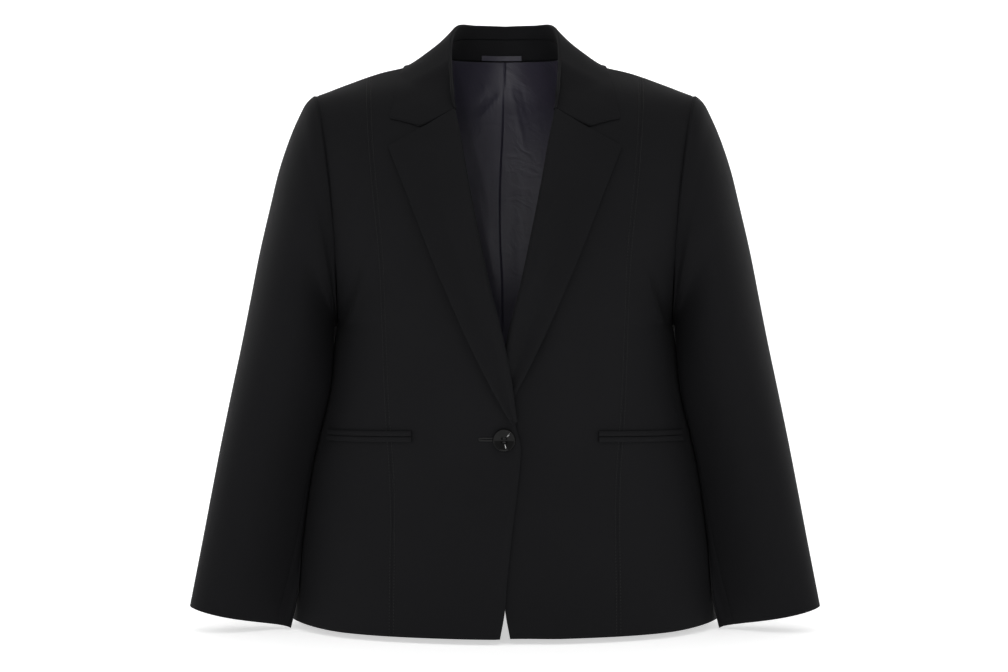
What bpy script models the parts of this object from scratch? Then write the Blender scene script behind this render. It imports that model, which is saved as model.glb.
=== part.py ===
"""A single-breasted blazer with one button, filled out as when it is worn.

Metres, +Z up. The front faces -Y and the wearer's left is at +X. The origin lies midway
between the shoulder points, where the wearer's shoulders hold the jacket up.

Each cloth piece is a closed wall around a sheet of middle points. `body` gives the sheet
of the fronts and the back, `sleeve` that of the sleeves, and the collar, lapels, pockets
and lining are laid on them. Every sheet is worked out for the wearer's left, at +X, and
mirrored for the right.
"""

import math

import bpy
import numpy as np

COLLECTION = "single_breasted_blazer"

CLOTH = 0.0016  # wall of the shell cloth
SATIN = 0.0010  # wall of the lining
SEAM_GAP = 0.0003  # between two pieces at a seam, and between a piece and what it lies on
LAY = 0.0030  # middle to middle, from a folded-over piece to the cloth below it
TUCK = 0.012  # of the sleeve behind the side of the body, under the arm
PINCH = 0.33  # of the sleeve's front depth, beside the body
UNDERARM_STEP = 0.0023  # middle to middle, at the seam under the arm
SLEEVE_CLEAR = 0.0036  # middle to middle, from a sleeve to the side of the body

HEM_LIFT = 0.0030  # of the hem, at the side seams
HEM_Z = -0.610
UNDERARM_Z = -0.278
NECK_HALF_WIDTH = 0.066
NECK_DEPTH = 0.075  # of the back of the neck seam, behind the shoulder seams
NECK_BACK_Z = 0.029
LINING_INSET, LINING_FREE = 0.0047, 0.0025  # middle to middle, at the top and below it
LINING_TOP = 1.965  # row of the body's sheet at which the lining starts
LOOP_X = (-0.028, 0.020)  # ends of the hanger loop
LOOP_HEIGHT = 0.006
FOOT_LIFT = 0.0012  # of the collar above the neck seam, clear of the body's wall

BUTTON_RADIUS = 0.0122
BUTTON_THICK = 0.0042
BUTTON_Z = -0.401
BUTTON_X = -0.001
BUTTON_HOLE_RADIUS = 0.0011
BUTTON_HOLE_REACH = 0.0030  # of a thread hole, from the button's middle

POCKET_X = (0.0984, 0.1925)  # inner and outer end of the slit
POCKET_Z = (-0.3980, -0.4002)  # of those ends
JET_HEIGHT = 0.0052
JET_THICK = 0.0014
SLIT = 0.0008

ROWS_BELOW, ROWS_ABOVE = 12, 12  # of the body, below and above the underarm
SLEEVE_ROWS = 16


def table(names, *rows):
    """Named columns from rows of numbers."""
    return dict(zip(names.split(), np.array(rows, float).T))


RINGS = table(
    "z half_width front back",
    (-0.610, 0.2395, 0.153, 0.146),  # hem
    (-0.520, 0.2308, 0.150, 0.140),
    (-0.430, 0.2185, 0.148, 0.130),  # waist
    (-0.350, 0.1995, 0.153, 0.124),
    (-0.278, 0.1880, 0.157, 0.120),  # underarm
)
# The centre line above the underarm, by the share of the way up the armhole.
YOKE = table(
    "share front_z front_y back_z back_y",
    (0.00, -0.278, -0.157, -0.278, 0.120),
    (0.25, -0.208, -0.153, -0.200, 0.119),
    (0.50, -0.138, -0.138, -0.125, 0.114),
    (0.75, -0.066, -0.111, -0.052, 0.100),
    (0.875, -0.014, -0.066, -0.012, 0.088),
    (1.00, 0.038, 0.000, 0.029, 0.075),
)
# The sleeve's sections, from the armhole to the cuff: its outer and inner point, the
# depth of its middle, front and back, and how far front and back lean inwards.
SLEEVE = table(
    "station outer_x outer_z inner_x inner_z mid_y front_y back_y front_in back_in",
    (0, 0.2118, -0.0215, 0.1880, -0.2780, 0.000, -0.088, 0.070, 0.0118, 0.003),
    (1, 0.2256, -0.0350, 0.1895, -0.2795, -0.001, -0.091, 0.075, 0.0105, 0.003),
    (2, 0.2389, -0.0622, 0.1890, -0.2830, -0.003, -0.094, 0.079, 0.0104, 0.0014),
    (3, 0.2527, -0.1028, 0.1885, -0.2900, -0.005, -0.097, 0.081, 0.0105, 0.0005),
    (4, 0.2624, -0.1435, 0.1870, -0.2990, -0.008, -0.099, 0.080, 0.0113, 0.000),
    (5, 0.2744, -0.1974, 0.1850, -0.3150, -0.012, -0.100, 0.077, 0.0135, 0.000),
    (6, 0.2845, -0.2513, 0.1800, -0.3360, -0.015, -0.100, 0.072, 0.0120, 0.000),
    (7, 0.2946, -0.3049, 0.1770, -0.3655, -0.018, -0.099, 0.064, 0.0080, 0.000),
    (8, 0.3052, -0.3583, 0.1865, -0.4040, -0.022, -0.098, 0.054, 0.0040, 0.000),
    (9, 0.3151, -0.4115, 0.1970, -0.4485, -0.028, -0.096, 0.041, 0.0000, 0.000),
    (10, 0.3244, -0.4645, 0.2080, -0.4975, -0.036, -0.094, 0.025, 0.0000, 0.000),
    (11, 0.3335, -0.5171, 0.2190, -0.5475, -0.043, -0.091, 0.007, 0.0000, 0.000),
    (12, 0.3465, -0.5872, 0.2367, -0.6104, -0.050, -0.0865, -0.0135, 0.0, 0.000),
)
SHOULDER = table(
    "x z",
    (0.000, 0.0380),
    (0.066, 0.0225),
    (0.115, 0.0110),
    (0.139, 0.0055),
    (0.178, -0.0080),
    (0.2118, -0.0215),
)
# The inner edge of a front, by height: the cut edge up to the break, the roll line up to
# the gorge, then the neck seam. A negative x lies past the middle.
FRONT_EDGE = table(
    "z x",
    (-0.6100, 0.0052),
    (-0.5800, 0.0000),
    (-0.5580, -0.0014),
    (-0.5200, -0.0052),
    (-0.4830, -0.0094),
    (-0.4540, -0.0130),
    (-0.4280, -0.0157),
    (-0.4050, -0.0160),
    (-0.3900, -0.0120),  # break
    (-0.3417, -0.0050),
    (-0.2894, 0.0050),
    (-0.2371, 0.0180),
    (-0.1889, 0.0280),
    (-0.1333, 0.0390),
    (-0.0742, 0.0495),
    (-0.0480, 0.0550),  # gorge
    (-0.0200, 0.0605),
    (0.0225, 0.0660),  # shoulder seam
)
PRINCESS = table(
    "z x",
    (-0.610, 0.1200),
    (-0.420, 0.1215),
    (-0.390, 0.1240),
    (-0.282, 0.1290),
    (-0.210, 0.1320),
    (-0.118, 0.1410),
    (0.003, 0.1530),
)
BREAK_Z, GORGE_Z = -0.390, -0.048
LAPEL_TIP = (0.1246, -0.0897)  # x and z
ROLL_CLEAR = 0.0005  # of the lapel's roll, beyond the edge of the front
FALL_BULGE = 0.0062  # outwards, of the bend of the collar's fall
LAPEL_BOW = 0.0245  # of the lapel's long edge, outwards
# The collar, by the share of the way from the centre back to the gorge: its fold line and
# the outer edge of its fall.
COLLAR = table(
    "share fold_x fold_y fold_z edge_x edge_y edge_z",
    (0.00, 0.0000, 0.0650, 0.0665, 0.0000, 0.0920, 0.0165),
    (0.20, 0.0320, 0.0560, 0.0660, 0.0450, 0.0840, 0.0165),
    (0.40, 0.0530, 0.0280, 0.0610, 0.0860, 0.0500, 0.0150),
    (0.55, 0.0595, -0.0020, 0.0440, 0.1130, 0.0000, 0.0130),
    (0.70, 0.0600, -0.0360, 0.0140, 0.1180, -0.0420, -0.0110),
    (0.85, 0.0580, -0.0720, -0.0170, 0.1205, -0.0700, -0.0360),
    (1.00, 0.0550, -0.1040, -0.0480, 0.1230, -0.0850, -0.0615),
)
SHOULDER_SHARE = 0.55  # of the collar, where it crosses the shoulder seam
STAND_END = 0.80  # of the collar, where the stand runs out
STAND_SHARE = 0.64  # of the height inside the neck, at the centre back
NOTCH_DROP = 0.0240  # of the notch's corner, below the line to the collar's tip

FABRIC = ((0.0090, 0.0090, 0.0100), 0.75)
LINING = ((0.0270, 0.0265, 0.0330), 0.42)
BUTTON = ((0.0060, 0.0060, 0.0065), 0.16)


def along(columns, name, at):
    """A column at a value of the first column, on a smooth cubic through the rows."""
    keys, values = next(iter(columns.values())), columns[name]
    slopes = np.gradient(values, keys)
    at = np.clip(at, keys[0], keys[-1])
    low = np.clip(np.searchsorted(keys, at) - 1, 0, len(keys) - 2)
    width = keys[low + 1] - keys[low]
    t = (at - keys[low]) / width
    rise = values[low + 1] - values[low]
    bend = t * (1 - t) * (
        (1 - t) * (slopes[low] * width - rise) + t * (rise - slopes[low + 1] * width)
    )
    return values[low] + t * rise + bend


def ramp(value, start, end):
    """0 before start, 1 after end, smooth between."""
    t = np.clip((value - start) / (end - start), 0, 1)
    return t * t * (3 - 2 * t)


def points(x, y, z):
    return np.stack(np.broadcast_arrays(x, y, z), axis=-1)


def unit(vectors):
    return vectors / np.linalg.norm(vectors, axis=-1, keepdims=True)


def section(angle, station):
    """The sleeve's section: 0 at the inner point, pi at the outer one, the front between."""
    col = {name: along(SLEEVE, name, station) for name in SLEEVE}
    rise = (1 - np.cos(angle)) / 2
    reach = np.abs(np.sin(angle))
    front = np.sin(angle) >= 0
    inside = ((1 + np.cos(angle)) / 2) ** 2
    pinch = PINCH * inside * ramp(station, 1.5, 5.0)
    tuck = TUCK * inside**3 * ramp(station, 0.0, 2.5) * (1 - ramp(station, 5.0, 8.0))
    depth = np.where(front, (1 - pinch) * col["front_y"], col["back_y"]) - col["mid_y"]
    lean = np.where(front, col["front_in"], col["back_in"])
    x = col["inner_x"] + (col["outer_x"] - col["inner_x"]) * rise - lean * reach**1.3
    z = col["inner_z"] + (col["outer_z"] - col["inner_z"]) * rise
    return points(x, col["mid_y"] + tuck + depth * reach, z)


def upper_back(x):
    """A smooth line near the shoulder seam and neck, which the rows of the back near."""
    hump = NECK_DEPTH * (1 - ramp(np.abs(x), 0.0, 2 * NECK_HALF_WIDTH))
    return points(x, hump, along(SHOULDER, "z", np.abs(x)))


def shoulder_line(x, back):
    """The shoulder seam, and behind it the back of the neck seam, at each x."""
    across = np.clip(x / NECK_HALF_WIDTH, 0, 1)
    round_neck = np.sqrt(1 - across**2) if back else 0 * across
    neck_z = along(SHOULDER, "z", NECK_HALF_WIDTH)
    z = along(SHOULDER, "z", np.abs(x))
    if back:
        in_neck = np.abs(x) < NECK_HALF_WIDTH
        z = np.where(in_neck, neck_z + (NECK_BACK_Z - neck_z) * round_neck, z)
    return points(x, NECK_DEPTH * round_neck, z)


def side_and_middle(v, back):
    """The side end of the body's row v, and its point on the centre line."""
    z = HEM_Z + (UNDERARM_Z - HEM_Z) * np.clip(v, 0, 1)
    depth = along(RINGS, "back", z) if back else -along(RINGS, "front", z)
    side = points(along(RINGS, "half_width", z), 0, z)
    share = np.clip(v - 1, 0, 1)
    hole = section(-math.pi * share if back else math.pi * share, 0.0)
    name = "back" if back else "front"
    above = (v > 1)[..., None]
    middle = points(0, depth, z)
    yoke = points(
        0, along(YOKE, name + "_y", share), along(YOKE, name + "_z", share)
    )
    return np.where(above, hole, side), np.where(above, yoke, middle)


def arc_turn(v):
    """How far the arc of row v turns: a quarter turn below the underarm, less above."""
    return math.pi / 2 - math.radians(42) * ramp(v, 1.0, 1.4)


def plain_body(a, v, back):
    side, middle = side_and_middle(v, back)
    turn = arc_turn(v)
    share = (np.cos(a * turn) - np.cos(turn)) / (1 - np.cos(turn))
    x = side[..., 0] * np.sin(a * turn) / np.sin(turn)
    yz = side[..., 1:] + (middle[..., 1:] - side[..., 1:]) * share[..., None]
    lift = HEM_LIFT * ramp(a, 0.5, 0.85) * np.clip(1 - v * ROWS_BELOW, 0, 1)
    return points(x, yz[..., 0], yz[..., 1] + lift)


def body(a, v, back=False):
    """The body's sheet. v runs from the hem, 0, over the underarm, 1, to the shoulder, 2;
    a from the centre line, 0, to the side seam or armhole, 1. A row is part of an ellipse
    from the centre line to its side end, and the rows near 2 bend to the shoulder seam."""
    a, v = np.broadcast_arrays(np.asarray(a, float), np.asarray(v, float))
    sheet = plain_body(a, v, back)
    top = plain_body(a, np.full_like(v, 2.0), back)
    # The top row is read at this row's own x, so that the bend is straight up and back.
    x = top[..., 0]
    bend = shoulder_line(x, back) - top
    share = (np.clip((v - 1.5) / 0.5, 0, 1) ** 3)[..., None]
    if not back:
        return sheet + share * bend
    corner = (np.clip((v - 1.8) / 0.2, 0, 1) ** 2)[..., None]
    soft = upper_back(x) - top
    return sheet + share * soft + corner * (bend - soft)


def share_at(x, v, back=False):
    """The share a at which row v has this x."""
    side, _ = side_and_middle(np.asarray(v, float), back)
    turn = arc_turn(v)
    return np.arcsin(np.clip(x * np.sin(turn) / side[..., 0], -1, 1)) / turn


def seam_share(line, v):
    """The share a at which row v of the front crosses a line given as x by height."""
    a = np.zeros_like(v)
    for _ in range(12):
        a = share_at(along(line, "x", body(a, v)[..., 2]), v)
    return a


def locate(x, z):
    """The a and v of the front's point at this x and height, by Newton's rule on v."""
    v = np.interp(z, (HEM_Z, UNDERARM_Z, 0.02), (0, 1, 2))
    for _ in range(16):
        a, step = share_at(x, v), 1e-3
        here = body(a, v)[..., 2]
        slope = (body(a, v + step)[..., 2] - here) / step
        v = np.clip(v + (z - here) / slope, 0, 2 - step)
    return share_at(x, v), v


def body_normal(a, v, back=False):
    """The outward normal of the body's sheet."""
    step = 1e-3
    low, high = np.clip(v - step, 0, 2), np.clip(v + step, 0, 2)
    across = body(a + step, v, back) - body(a - step, v, back)
    up = body(a, high, back) - body(a, low, back)
    return unit(np.cross(across, up)) * (-1 if back else 1)


def under_lap(sheet):
    """The under front, at +X, pressed inwards where the top front laps over it."""
    x, z = sheet[..., 0], sheet[..., 2]
    depth = 0.0066 - 0.0030 * ramp(-z, 0.40, 0.44)
    press = depth * (1 - ramp(x, 0.018, 0.062)) * ramp(-z, 0.235, 0.300)
    return sheet + points(0, press, 0)


def sleeve(angle, station):
    """The sleeve's sheet, pressed out where it would meet the side of the body."""
    sheet = section(angle, station)
    x, y, z = np.moveaxis(sheet, -1, 0)
    level = np.clip(z, HEM_Z, UNDERARM_Z)
    depth = np.where(
        y < 0, along(RINGS, "front", level), along(RINGS, "back", level)
    )
    side = along(RINGS, "half_width", level) * np.sqrt(
        np.clip(1 - (y / depth) ** 2, 0, 1)
    )
    wall = side + SLEEVE_CLEAR * np.clip(station, 0, 1)
    soft = 0.003
    pushed = wall + soft * np.logaddexp(0, (x - wall) / soft)
    near = ramp(station, 0.0, 1.0) * (1 - ramp(z, UNDERARM_Z, UNDERARM_Z + 0.09))
    return points(x + (pushed - x) * near, y, z)


def neck_seam(share):
    """The seam of the collar and the body, from the centre back, 0, to the gorge, 1."""
    quarter = np.clip(share / SHOULDER_SHARE, 0, 1) * math.pi / 2
    behind = shoulder_line(NECK_HALF_WIDTH * np.sin(quarter), True)
    ahead = np.clip((share - SHOULDER_SHARE) / (1 - SHOULDER_SHARE), 0, 1)
    v = 2 - ahead * (2 - GORGE_V)
    before = body(seam_share(FRONT_EDGE, v), v)
    return np.where((share < SHOULDER_SHARE)[..., None], behind, before)


def collar_sheet(share, column):
    """The collar across its width: column 0 to 1 up the inside of the neck, 1 to 2 over
    the fold in a half circle, and 2 to 3 down the fall on a bent line to its edge."""
    near = np.abs(share)
    fold = points(*(along(COLLAR, "fold_" + axis, near) for axis in "xyz"))
    edge = points(*(along(COLLAR, "edge_" + axis, near) for axis in "xyz"))
    step = 1e-3
    ahead = points(
        *(along(COLLAR, "fold_" + axis, np.clip(near + step, 0, 1)) for axis in "xyz")
    )
    behind = points(
        *(along(COLLAR, "fold_" + axis, np.clip(near - step, 0, 1)) for axis in "xyz")
    )
    seam = neck_seam(near)
    fold = fold + (seam - fold) * ramp(near, 0.9, 1.0)[..., None]
    down = seam - fold
    height = np.linalg.norm(down, axis=-1, keepdims=True)
    crest = -unit(unit(edge - fold) + down / (height + 0.004))
    fold = fold + crest * FOOT_LIFT * ramp(near, 0.7, 1.0)[..., None]
    away = unit(np.cross(crest, ahead - behind))
    radius = LAY / 2
    centre = fold + radius * away
    foot = np.clip(FOOT_LIFT / (height + 1e-4), 0, 1)
    climb = foot + (1 - foot) * np.clip(column, 0, 1)[..., None]
    half_turn = (np.clip(column - 1, 0, 1) * math.pi)[..., None]
    fall = np.clip(column - 2, 0, 1)[..., None]
    inside = seam + (fold - seam) * climb
    over = centre - radius * np.cos(half_turn) * away + radius * np.sin(half_turn) * crest
    start = centre + radius * away
    length = np.linalg.norm(edge - start, axis=-1, keepdims=True)
    pull = start - crest * length * 0.45 + away * FALL_BULGE
    outside = (
        (1 - fall) ** 2 * start + 2 * fall * (1 - fall) * pull + fall**2 * edge
    )
    notch = NOTCH_DROP * np.clip((near - 0.9) / 0.1, 0, 1) * (
        1 - np.abs(2 * np.clip(column - 2, 0, 1) - 1)
    )
    outside = outside - points(0, 0, notch)
    sheet = np.where(
        (column <= 1)[..., None], inside, np.where((column <= 2)[..., None], over, outside)
    )
    sheet = rest_on_body(sheet, column > 2)
    return sheet * points(np.where(share < 0, -1.0, 1.0), 1, 1)


def rest_on_body(sheet, where):
    """Points nearer to the body's outside than a laid piece should be, moved out to it."""
    spread_a = np.linspace(-0.2, 1, 61)[None, :]
    spread_v = np.linspace(1.3, 1.995, 71)[:, None]
    found = sheet.reshape(-1, 3).copy()
    chosen = np.broadcast_to(where, sheet.shape[:-1]).reshape(-1)
    for back in (False, True):
        skin = body(spread_a, spread_v, back).reshape(-1, 3)
        out = body_normal(spread_a, spread_v, back).reshape(-1, 3)
        own = chosen & ((found[:, 1] > 0) == back)
        for _ in range(2):
            gap = np.linalg.norm(found[:, None] - skin[None], axis=-1)
            nearest = gap.argmin(axis=1)
            height = ((found - skin[nearest]) * out[nearest]).sum(axis=1)
            low = own & (gap.min(axis=1) < 0.03)
            lift = np.where(low, np.clip(LAY - height, 0, None), 0)
            found += lift[:, None] * out[nearest]
    return found.reshape(sheet.shape)


def grid_normals(grid):
    """A unit normal at each point of a grid, the mean over the faces that meet there."""
    face = np.cross(grid[1:, 1:] - grid[:-1, :-1], grid[1:, :-1] - grid[:-1, 1:])
    total = np.zeros_like(grid)
    for rows in (slice(None, -1), slice(1, None)):
        for columns in (slice(None, -1), slice(1, None)):
            total[rows, columns] += unit(face)
    return unit(total)


def mitre(first, second):
    """The direction in which two walls meet at a seam, long enough for both."""
    agree = 1 + (first * second).sum(axis=-1, keepdims=True)
    return (first + second) / np.clip(agree, 0.5, None)


def trimmed(grid):
    """The grid with half a seam's gap taken off each edge."""
    grid = grid.copy()
    for _ in range(2):
        for edge, inner in ((0, 1), (-1, -2)):
            grid[edge] += unit(grid[inner] - grid[edge]) * SEAM_GAP / 2
        grid = grid.swapaxes(0, 1)
    return grid


def turned(quads):
    """The same quads facing the other way, each split along the same diagonal."""
    return quads[:, [0, 3, 2, 1]]


def wall(name, grid, finish, thick=CLOTH, normals=None):
    """A named closed wall around a grid, half its thickness to each side."""
    normals = grid_normals(grid) if normals is None else normals
    grid = trimmed(grid)
    rows, columns = grid.shape[:2]
    skins = np.concatenate([grid + normals * thick / 2, grid - normals * thick / 2])
    index = np.arange(rows * columns).reshape(rows, columns)
    quads = np.stack(
        [index[:-1, 1:], index[1:, 1:], index[1:, :-1], index[:-1, :-1]], axis=-1
    ).reshape(-1, 4)
    rim = np.concatenate([index[0], index[1:, -1], index[-1, -2::-1], index[-2:0:-1, 0]])
    turn = np.roll(rim, -1)
    low = rows * columns
    band = np.stack([rim, rim + low, turn + low, turn], axis=-1)
    faces = np.concatenate([quads, turned(quads) + low, band])
    flat = skins.reshape(-1, 3)
    corner = flat[faces]
    volume = sum(
        (corner[:, 0] * np.cross(corner[:, k], corner[:, k + 1])).sum() for k in (1, 2)
    )
    if volume < 0:
        faces = turned(faces)
    mesh = bpy.data.meshes.new(name)
    mesh.from_pydata(flat.tolist(), [], faces.tolist())
    mesh.shade_smooth()
    mesh.set_sharp_from_angle(angle=math.radians(50))
    return add(name, mesh, finish)


def add(name, mesh, finish):
    mesh.materials.append(finish)
    piece = bpy.data.objects.new(name, mesh)
    bpy.data.collections[COLLECTION].objects.link(piece)
    return piece


def material(name, look, metallic=0.0):
    """A Principled material of one colour and roughness."""
    made = bpy.data.materials.new(name)
    made.use_nodes = True
    shader = made.node_tree.nodes["Principled BSDF"]
    colour, roughness = look
    shader.inputs["Base Color"].default_value = (*colour, 1)
    shader.inputs["Roughness"].default_value = roughness
    shader.inputs["Metallic"].default_value = metallic
    return made


def clear_scene():
    for found in list(bpy.data.objects):
        bpy.data.objects.remove(found)
    group = bpy.data.collections.new(COLLECTION)
    bpy.context.scene.collection.children.link(group)
    tools = bpy.data.collections.new("cutters")
    bpy.context.scene.collection.children.link(tools)


def rows_of_body():
    below = np.linspace(0, 1, ROWS_BELOW + 1)
    above = np.linspace(1, 2, ROWS_ABOVE + 1)[1:]
    return np.concatenate([below, above])


def between(first, last, count):
    """Columns evenly between two edges that are given row by row."""
    share = np.linspace(0, 1, count + 1)[None, :]
    return first[:, None] + (last - first)[:, None] * share


def back_columns():
    """Columns of the back that meet the corner of the neck and shoulder seams."""
    quarter = np.linspace(0, math.pi / 2, 5)
    neck = share_at(NECK_HALF_WIDTH * np.sin(quarter), np.full(5, 2.0), back=True)
    return np.concatenate([neck, np.linspace(neck[-1], 1, 7)[1:]])


def same_x(x, other_x, other_normals):
    """Another sheet's edge normals, read at this edge's own x."""
    return np.stack([np.interp(x, other_x, column) for column in other_normals.T], -1)


def body_panels():
    """The three panels of the left half, by name, each a grid and its outward normals."""
    v = rows_of_body()
    princess = seam_share(PRINCESS, v)
    shares = {
        "front": between(seam_share(FRONT_EDGE, v), princess, 5),
        "side_front": between(princess, np.ones_like(v), 5),
        "back": np.repeat(back_columns()[None, :], len(v), 0),
    }
    grids = {
        name: body(a, v[:, None], back=name == "back") for name, a in shares.items()
    }
    out = {name: grid_normals(grid) for name, grid in grids.items()}
    out["back"] = -out["back"]
    join_shoulder(grids, out)
    join_armhole(grids, out)
    return grids, out


def join_shoulder(grids, out):
    """Both sides of the shoulder seam get the mitre of their normals."""
    plain = {name: normals[-1].copy() for name, normals in out.items()}
    ahead_x = np.concatenate([grids[n][-1, :, 0] for n in ("front", "side_front")])
    ahead = np.concatenate([plain["front"], plain["side_front"]])
    for name in ("front", "side_front"):
        x = grids[name][-1, :, 0]
        other = same_x(x, grids["back"][-1, :, 0], plain["back"])
        out[name][-1] = mitre(plain[name], unit(other))
    x = grids["back"][-1, :, 0]
    seam = x > NECK_HALF_WIDTH - 1e-6
    out["back"][-1, seam] = mitre(
        plain["back"][seam], unit(same_x(x[seam], ahead_x, ahead))
    )


def sleeve_grid():
    """The whole sleeve's sheet, its stations as rows and the angle round it as columns.
    Its first row is the armhole's edge, moved outwards under the arm."""
    station = 12 * (np.arange(SLEEVE_ROWS + 1) / SLEEVE_ROWS) ** 1.15
    angle = np.linspace(0, 2 * math.pi, 2 * ROWS_ABOVE + 1)
    grid = sleeve(angle[None, :], station[:, None])
    grid[0, :, 0] += UNDERARM_STEP * under_arm(angle)
    return grid


def under_arm(angle):
    """1 where the sleeve and the body hang side by side from the armhole, 0 elsewhere."""
    return ramp(np.cos(angle), 0.3, 0.8)


def sleeve_normals(grid):
    """The sleeve's outward normals, the same where its two ends meet."""
    wide = np.concatenate([grid[:, -2:-1], grid, grid[:, 1:2]], axis=1)
    return -grid_normals(wide)[:, 1:-1]


def join_armhole(grids, out):
    """The body's edge round the armhole gets the mitre of its normals and the sleeve's."""
    cap = sleeve_normals(sleeve_grid())[0]
    rows = slice(ROWS_BELOW, None)
    for name, edge, hole in (
        ("side_front", -1, cap[: ROWS_ABOVE + 1]),
        ("back", -1, cap[ROWS_ABOVE:][::-1]),
    ):
        plain = out[name][rows, edge]
        side_by_side = under_arm(np.linspace(0, math.pi, ROWS_ABOVE + 1))[:, None]
        joined = mitre(plain, hole)
        out[name][rows, edge] = joined + (plain - joined) * side_by_side


def sleeve_and_normals():
    """The sleeve's sheet and its normals, mitred where it meets the body."""
    grid = sleeve_grid()
    normals = sleeve_normals(grid)
    v = rows_of_body()[ROWS_BELOW:]
    ahead = body_normal(np.full_like(v, 0.995), v)
    behind = body_normal(np.full_like(v, 0.995), v, back=True)
    around = np.concatenate([ahead, behind[-2::-1]])
    around[[0, -1]] = (1, 0, 0)
    around[ROWS_ABOVE] = unit(ahead[-1] + behind[-1])
    side_by_side = under_arm(np.linspace(0, 2 * math.pi, normals.shape[1]))[:, None]
    joined = mitre(normals[0], around)
    normals[0] = joined + (normals[0] - joined) * side_by_side
    return grid, normals


def both_sides(name, grid, finish, thick=CLOTH, normals=None):
    """The same wall at +X, called left, and mirrored at -X, called right."""
    flip = np.array([-1.0, 1.0, 1.0])
    normals = grid_normals(grid) if normals is None else normals
    wall(f"{name}_left", grid, finish, thick, normals)
    wall(f"{name}_right", grid * flip, finish, thick, normals * flip)


def build_body(fabric):
    grids, out = body_panels()
    flip = np.array([-1.0, 1.0, 1.0])
    wall("front_left", under_lap(grids["front"]), fabric, normals=out["front"])
    wall("front_right", grids["front"] * flip, fabric, normals=out["front"] * flip)
    both_sides("side_front", grids["side_front"], fabric, normals=out["side_front"])
    both_sides("back", grids["back"], fabric, normals=out["back"])


def build_sleeves(fabric):
    """The top sleeve goes over the shoulder between the two seams, the under one below."""
    grid, normals = sleeve_and_normals()
    fore, hind = ROWS_ABOVE // 4, 2 * ROWS_ABOVE - ROWS_ABOVE // 3
    both_sides(
        "sleeve_top", grid[:, fore : hind + 1], fabric, normals=normals[:, fore : hind + 1]
    )
    under = np.concatenate([grid[:, hind:-1], grid[:, : fore + 1]], axis=1)
    under_normals = np.concatenate([normals[:, hind:-1], normals[:, : fore + 1]], axis=1)
    both_sides("sleeve_under", under, fabric, normals=under_normals)


def lapel_grid(under):
    """The lapel: a half circle over the roll line, then flat on the front to its edge."""
    rise = np.linspace(0.02, 0.998, 15)
    v = BREAK_V + (GORGE_V - BREAK_V) * rise
    roll_a = seam_share(FRONT_EDGE, v)
    foot = body(np.array(seam_share(FRONT_EDGE, np.array([BREAK_V]))), BREAK_V)[0]
    edge_x = foot[0] + (LAPEL_TIP[0] - foot[0]) * rise
    edge_z = foot[2] + (LAPEL_TIP[1] - foot[2]) * rise
    edge_x = edge_x + LAPEL_BOW * rise**0.6 * (1 - rise) ** 1.4
    edge_a, edge_v = locate(edge_x, edge_z)
    across = np.linspace(0, 1, 6)[None, :]
    a = roll_a[:, None] + (edge_a - roll_a)[:, None] * across
    along_v = v[:, None] + (edge_v - v)[:, None] * across
    sheet, out = body(a, along_v), body_normal(a, along_v)
    if under:
        sheet = under_lap(sheet)
    flat = sheet + LAY * out
    tangent = unit(sheet[:, 1:2] - sheet[:, :1])
    turn = np.linspace(0, math.pi, 6)[None, :-1, None]
    radius = LAY / 2
    roll = (
        sheet[:, :1]
        - (radius * np.sin(turn) + ROLL_CLEAR) * tangent
        + radius * (1 - np.cos(turn)) * out[:, :1]
    )
    return np.concatenate([roll, flat], axis=1)


def build_lapels(fabric):
    flip = np.array([-1.0, 1.0, 1.0])
    wall("lapel_left", lapel_grid(under=True), fabric)
    wall("lapel_right", lapel_grid(under=False) * flip, fabric)


def stand_share(share):
    """The height of the stand's seam, as a share of the way up inside the neck."""
    return STAND_SHARE * np.sqrt(np.clip(1 - (share / 0.86) ** 2, 0, 1))


def build_collar(fabric):
    half = np.concatenate(
        [np.linspace(0, SHOULDER_SHARE, 9), np.linspace(SHOULDER_SHARE, 0.998, 8)[1:]]
    )
    share = np.concatenate([-half[:0:-1], half])[:, None]
    climb = stand_share(share)
    inside = climb + (1 - climb) * np.linspace(0, 1, 3)[None, :]
    rest = np.concatenate([np.linspace(1, 2, 6)[1:], np.linspace(2, 3, 7)[1:]])
    column = np.concatenate([inside, np.repeat(rest[None, :], len(share), 0)], axis=1)
    wall("collar", collar_sheet(share + 0 * column, column), fabric)
    kept = np.abs(share[:, 0]) < STAND_END
    low = climb[kept] * np.linspace(0, 1, 4)[None, :]
    wall("collar_stand", collar_sheet(share[kept] + 0 * low, low), fabric)


def build_pockets(fabric):
    """Two welts on each front, one above and one below the slit."""
    a, v = locate(np.linspace(*POCKET_X, 9), np.linspace(*POCKET_Z, 9))
    step = SLIT / 2 / (UNDERARM_Z - HEM_Z)
    tall = JET_HEIGHT / (UNDERARM_Z - HEM_Z)
    lift = CLOTH / 2 + SEAM_GAP + JET_THICK / 2
    for name, low in (("upper", step), ("lower", -step - tall)):
        rows = v[None, :] + np.array([low, low + tall])[:, None]
        columns = share_at(np.linspace(*POCKET_X, 9)[None, :], rows)
        out = body_normal(columns, rows)
        grid = body(columns, rows) + lift * out
        both_sides(f"pocket_jet_{name}", grid, fabric, JET_THICK, out)


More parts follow.
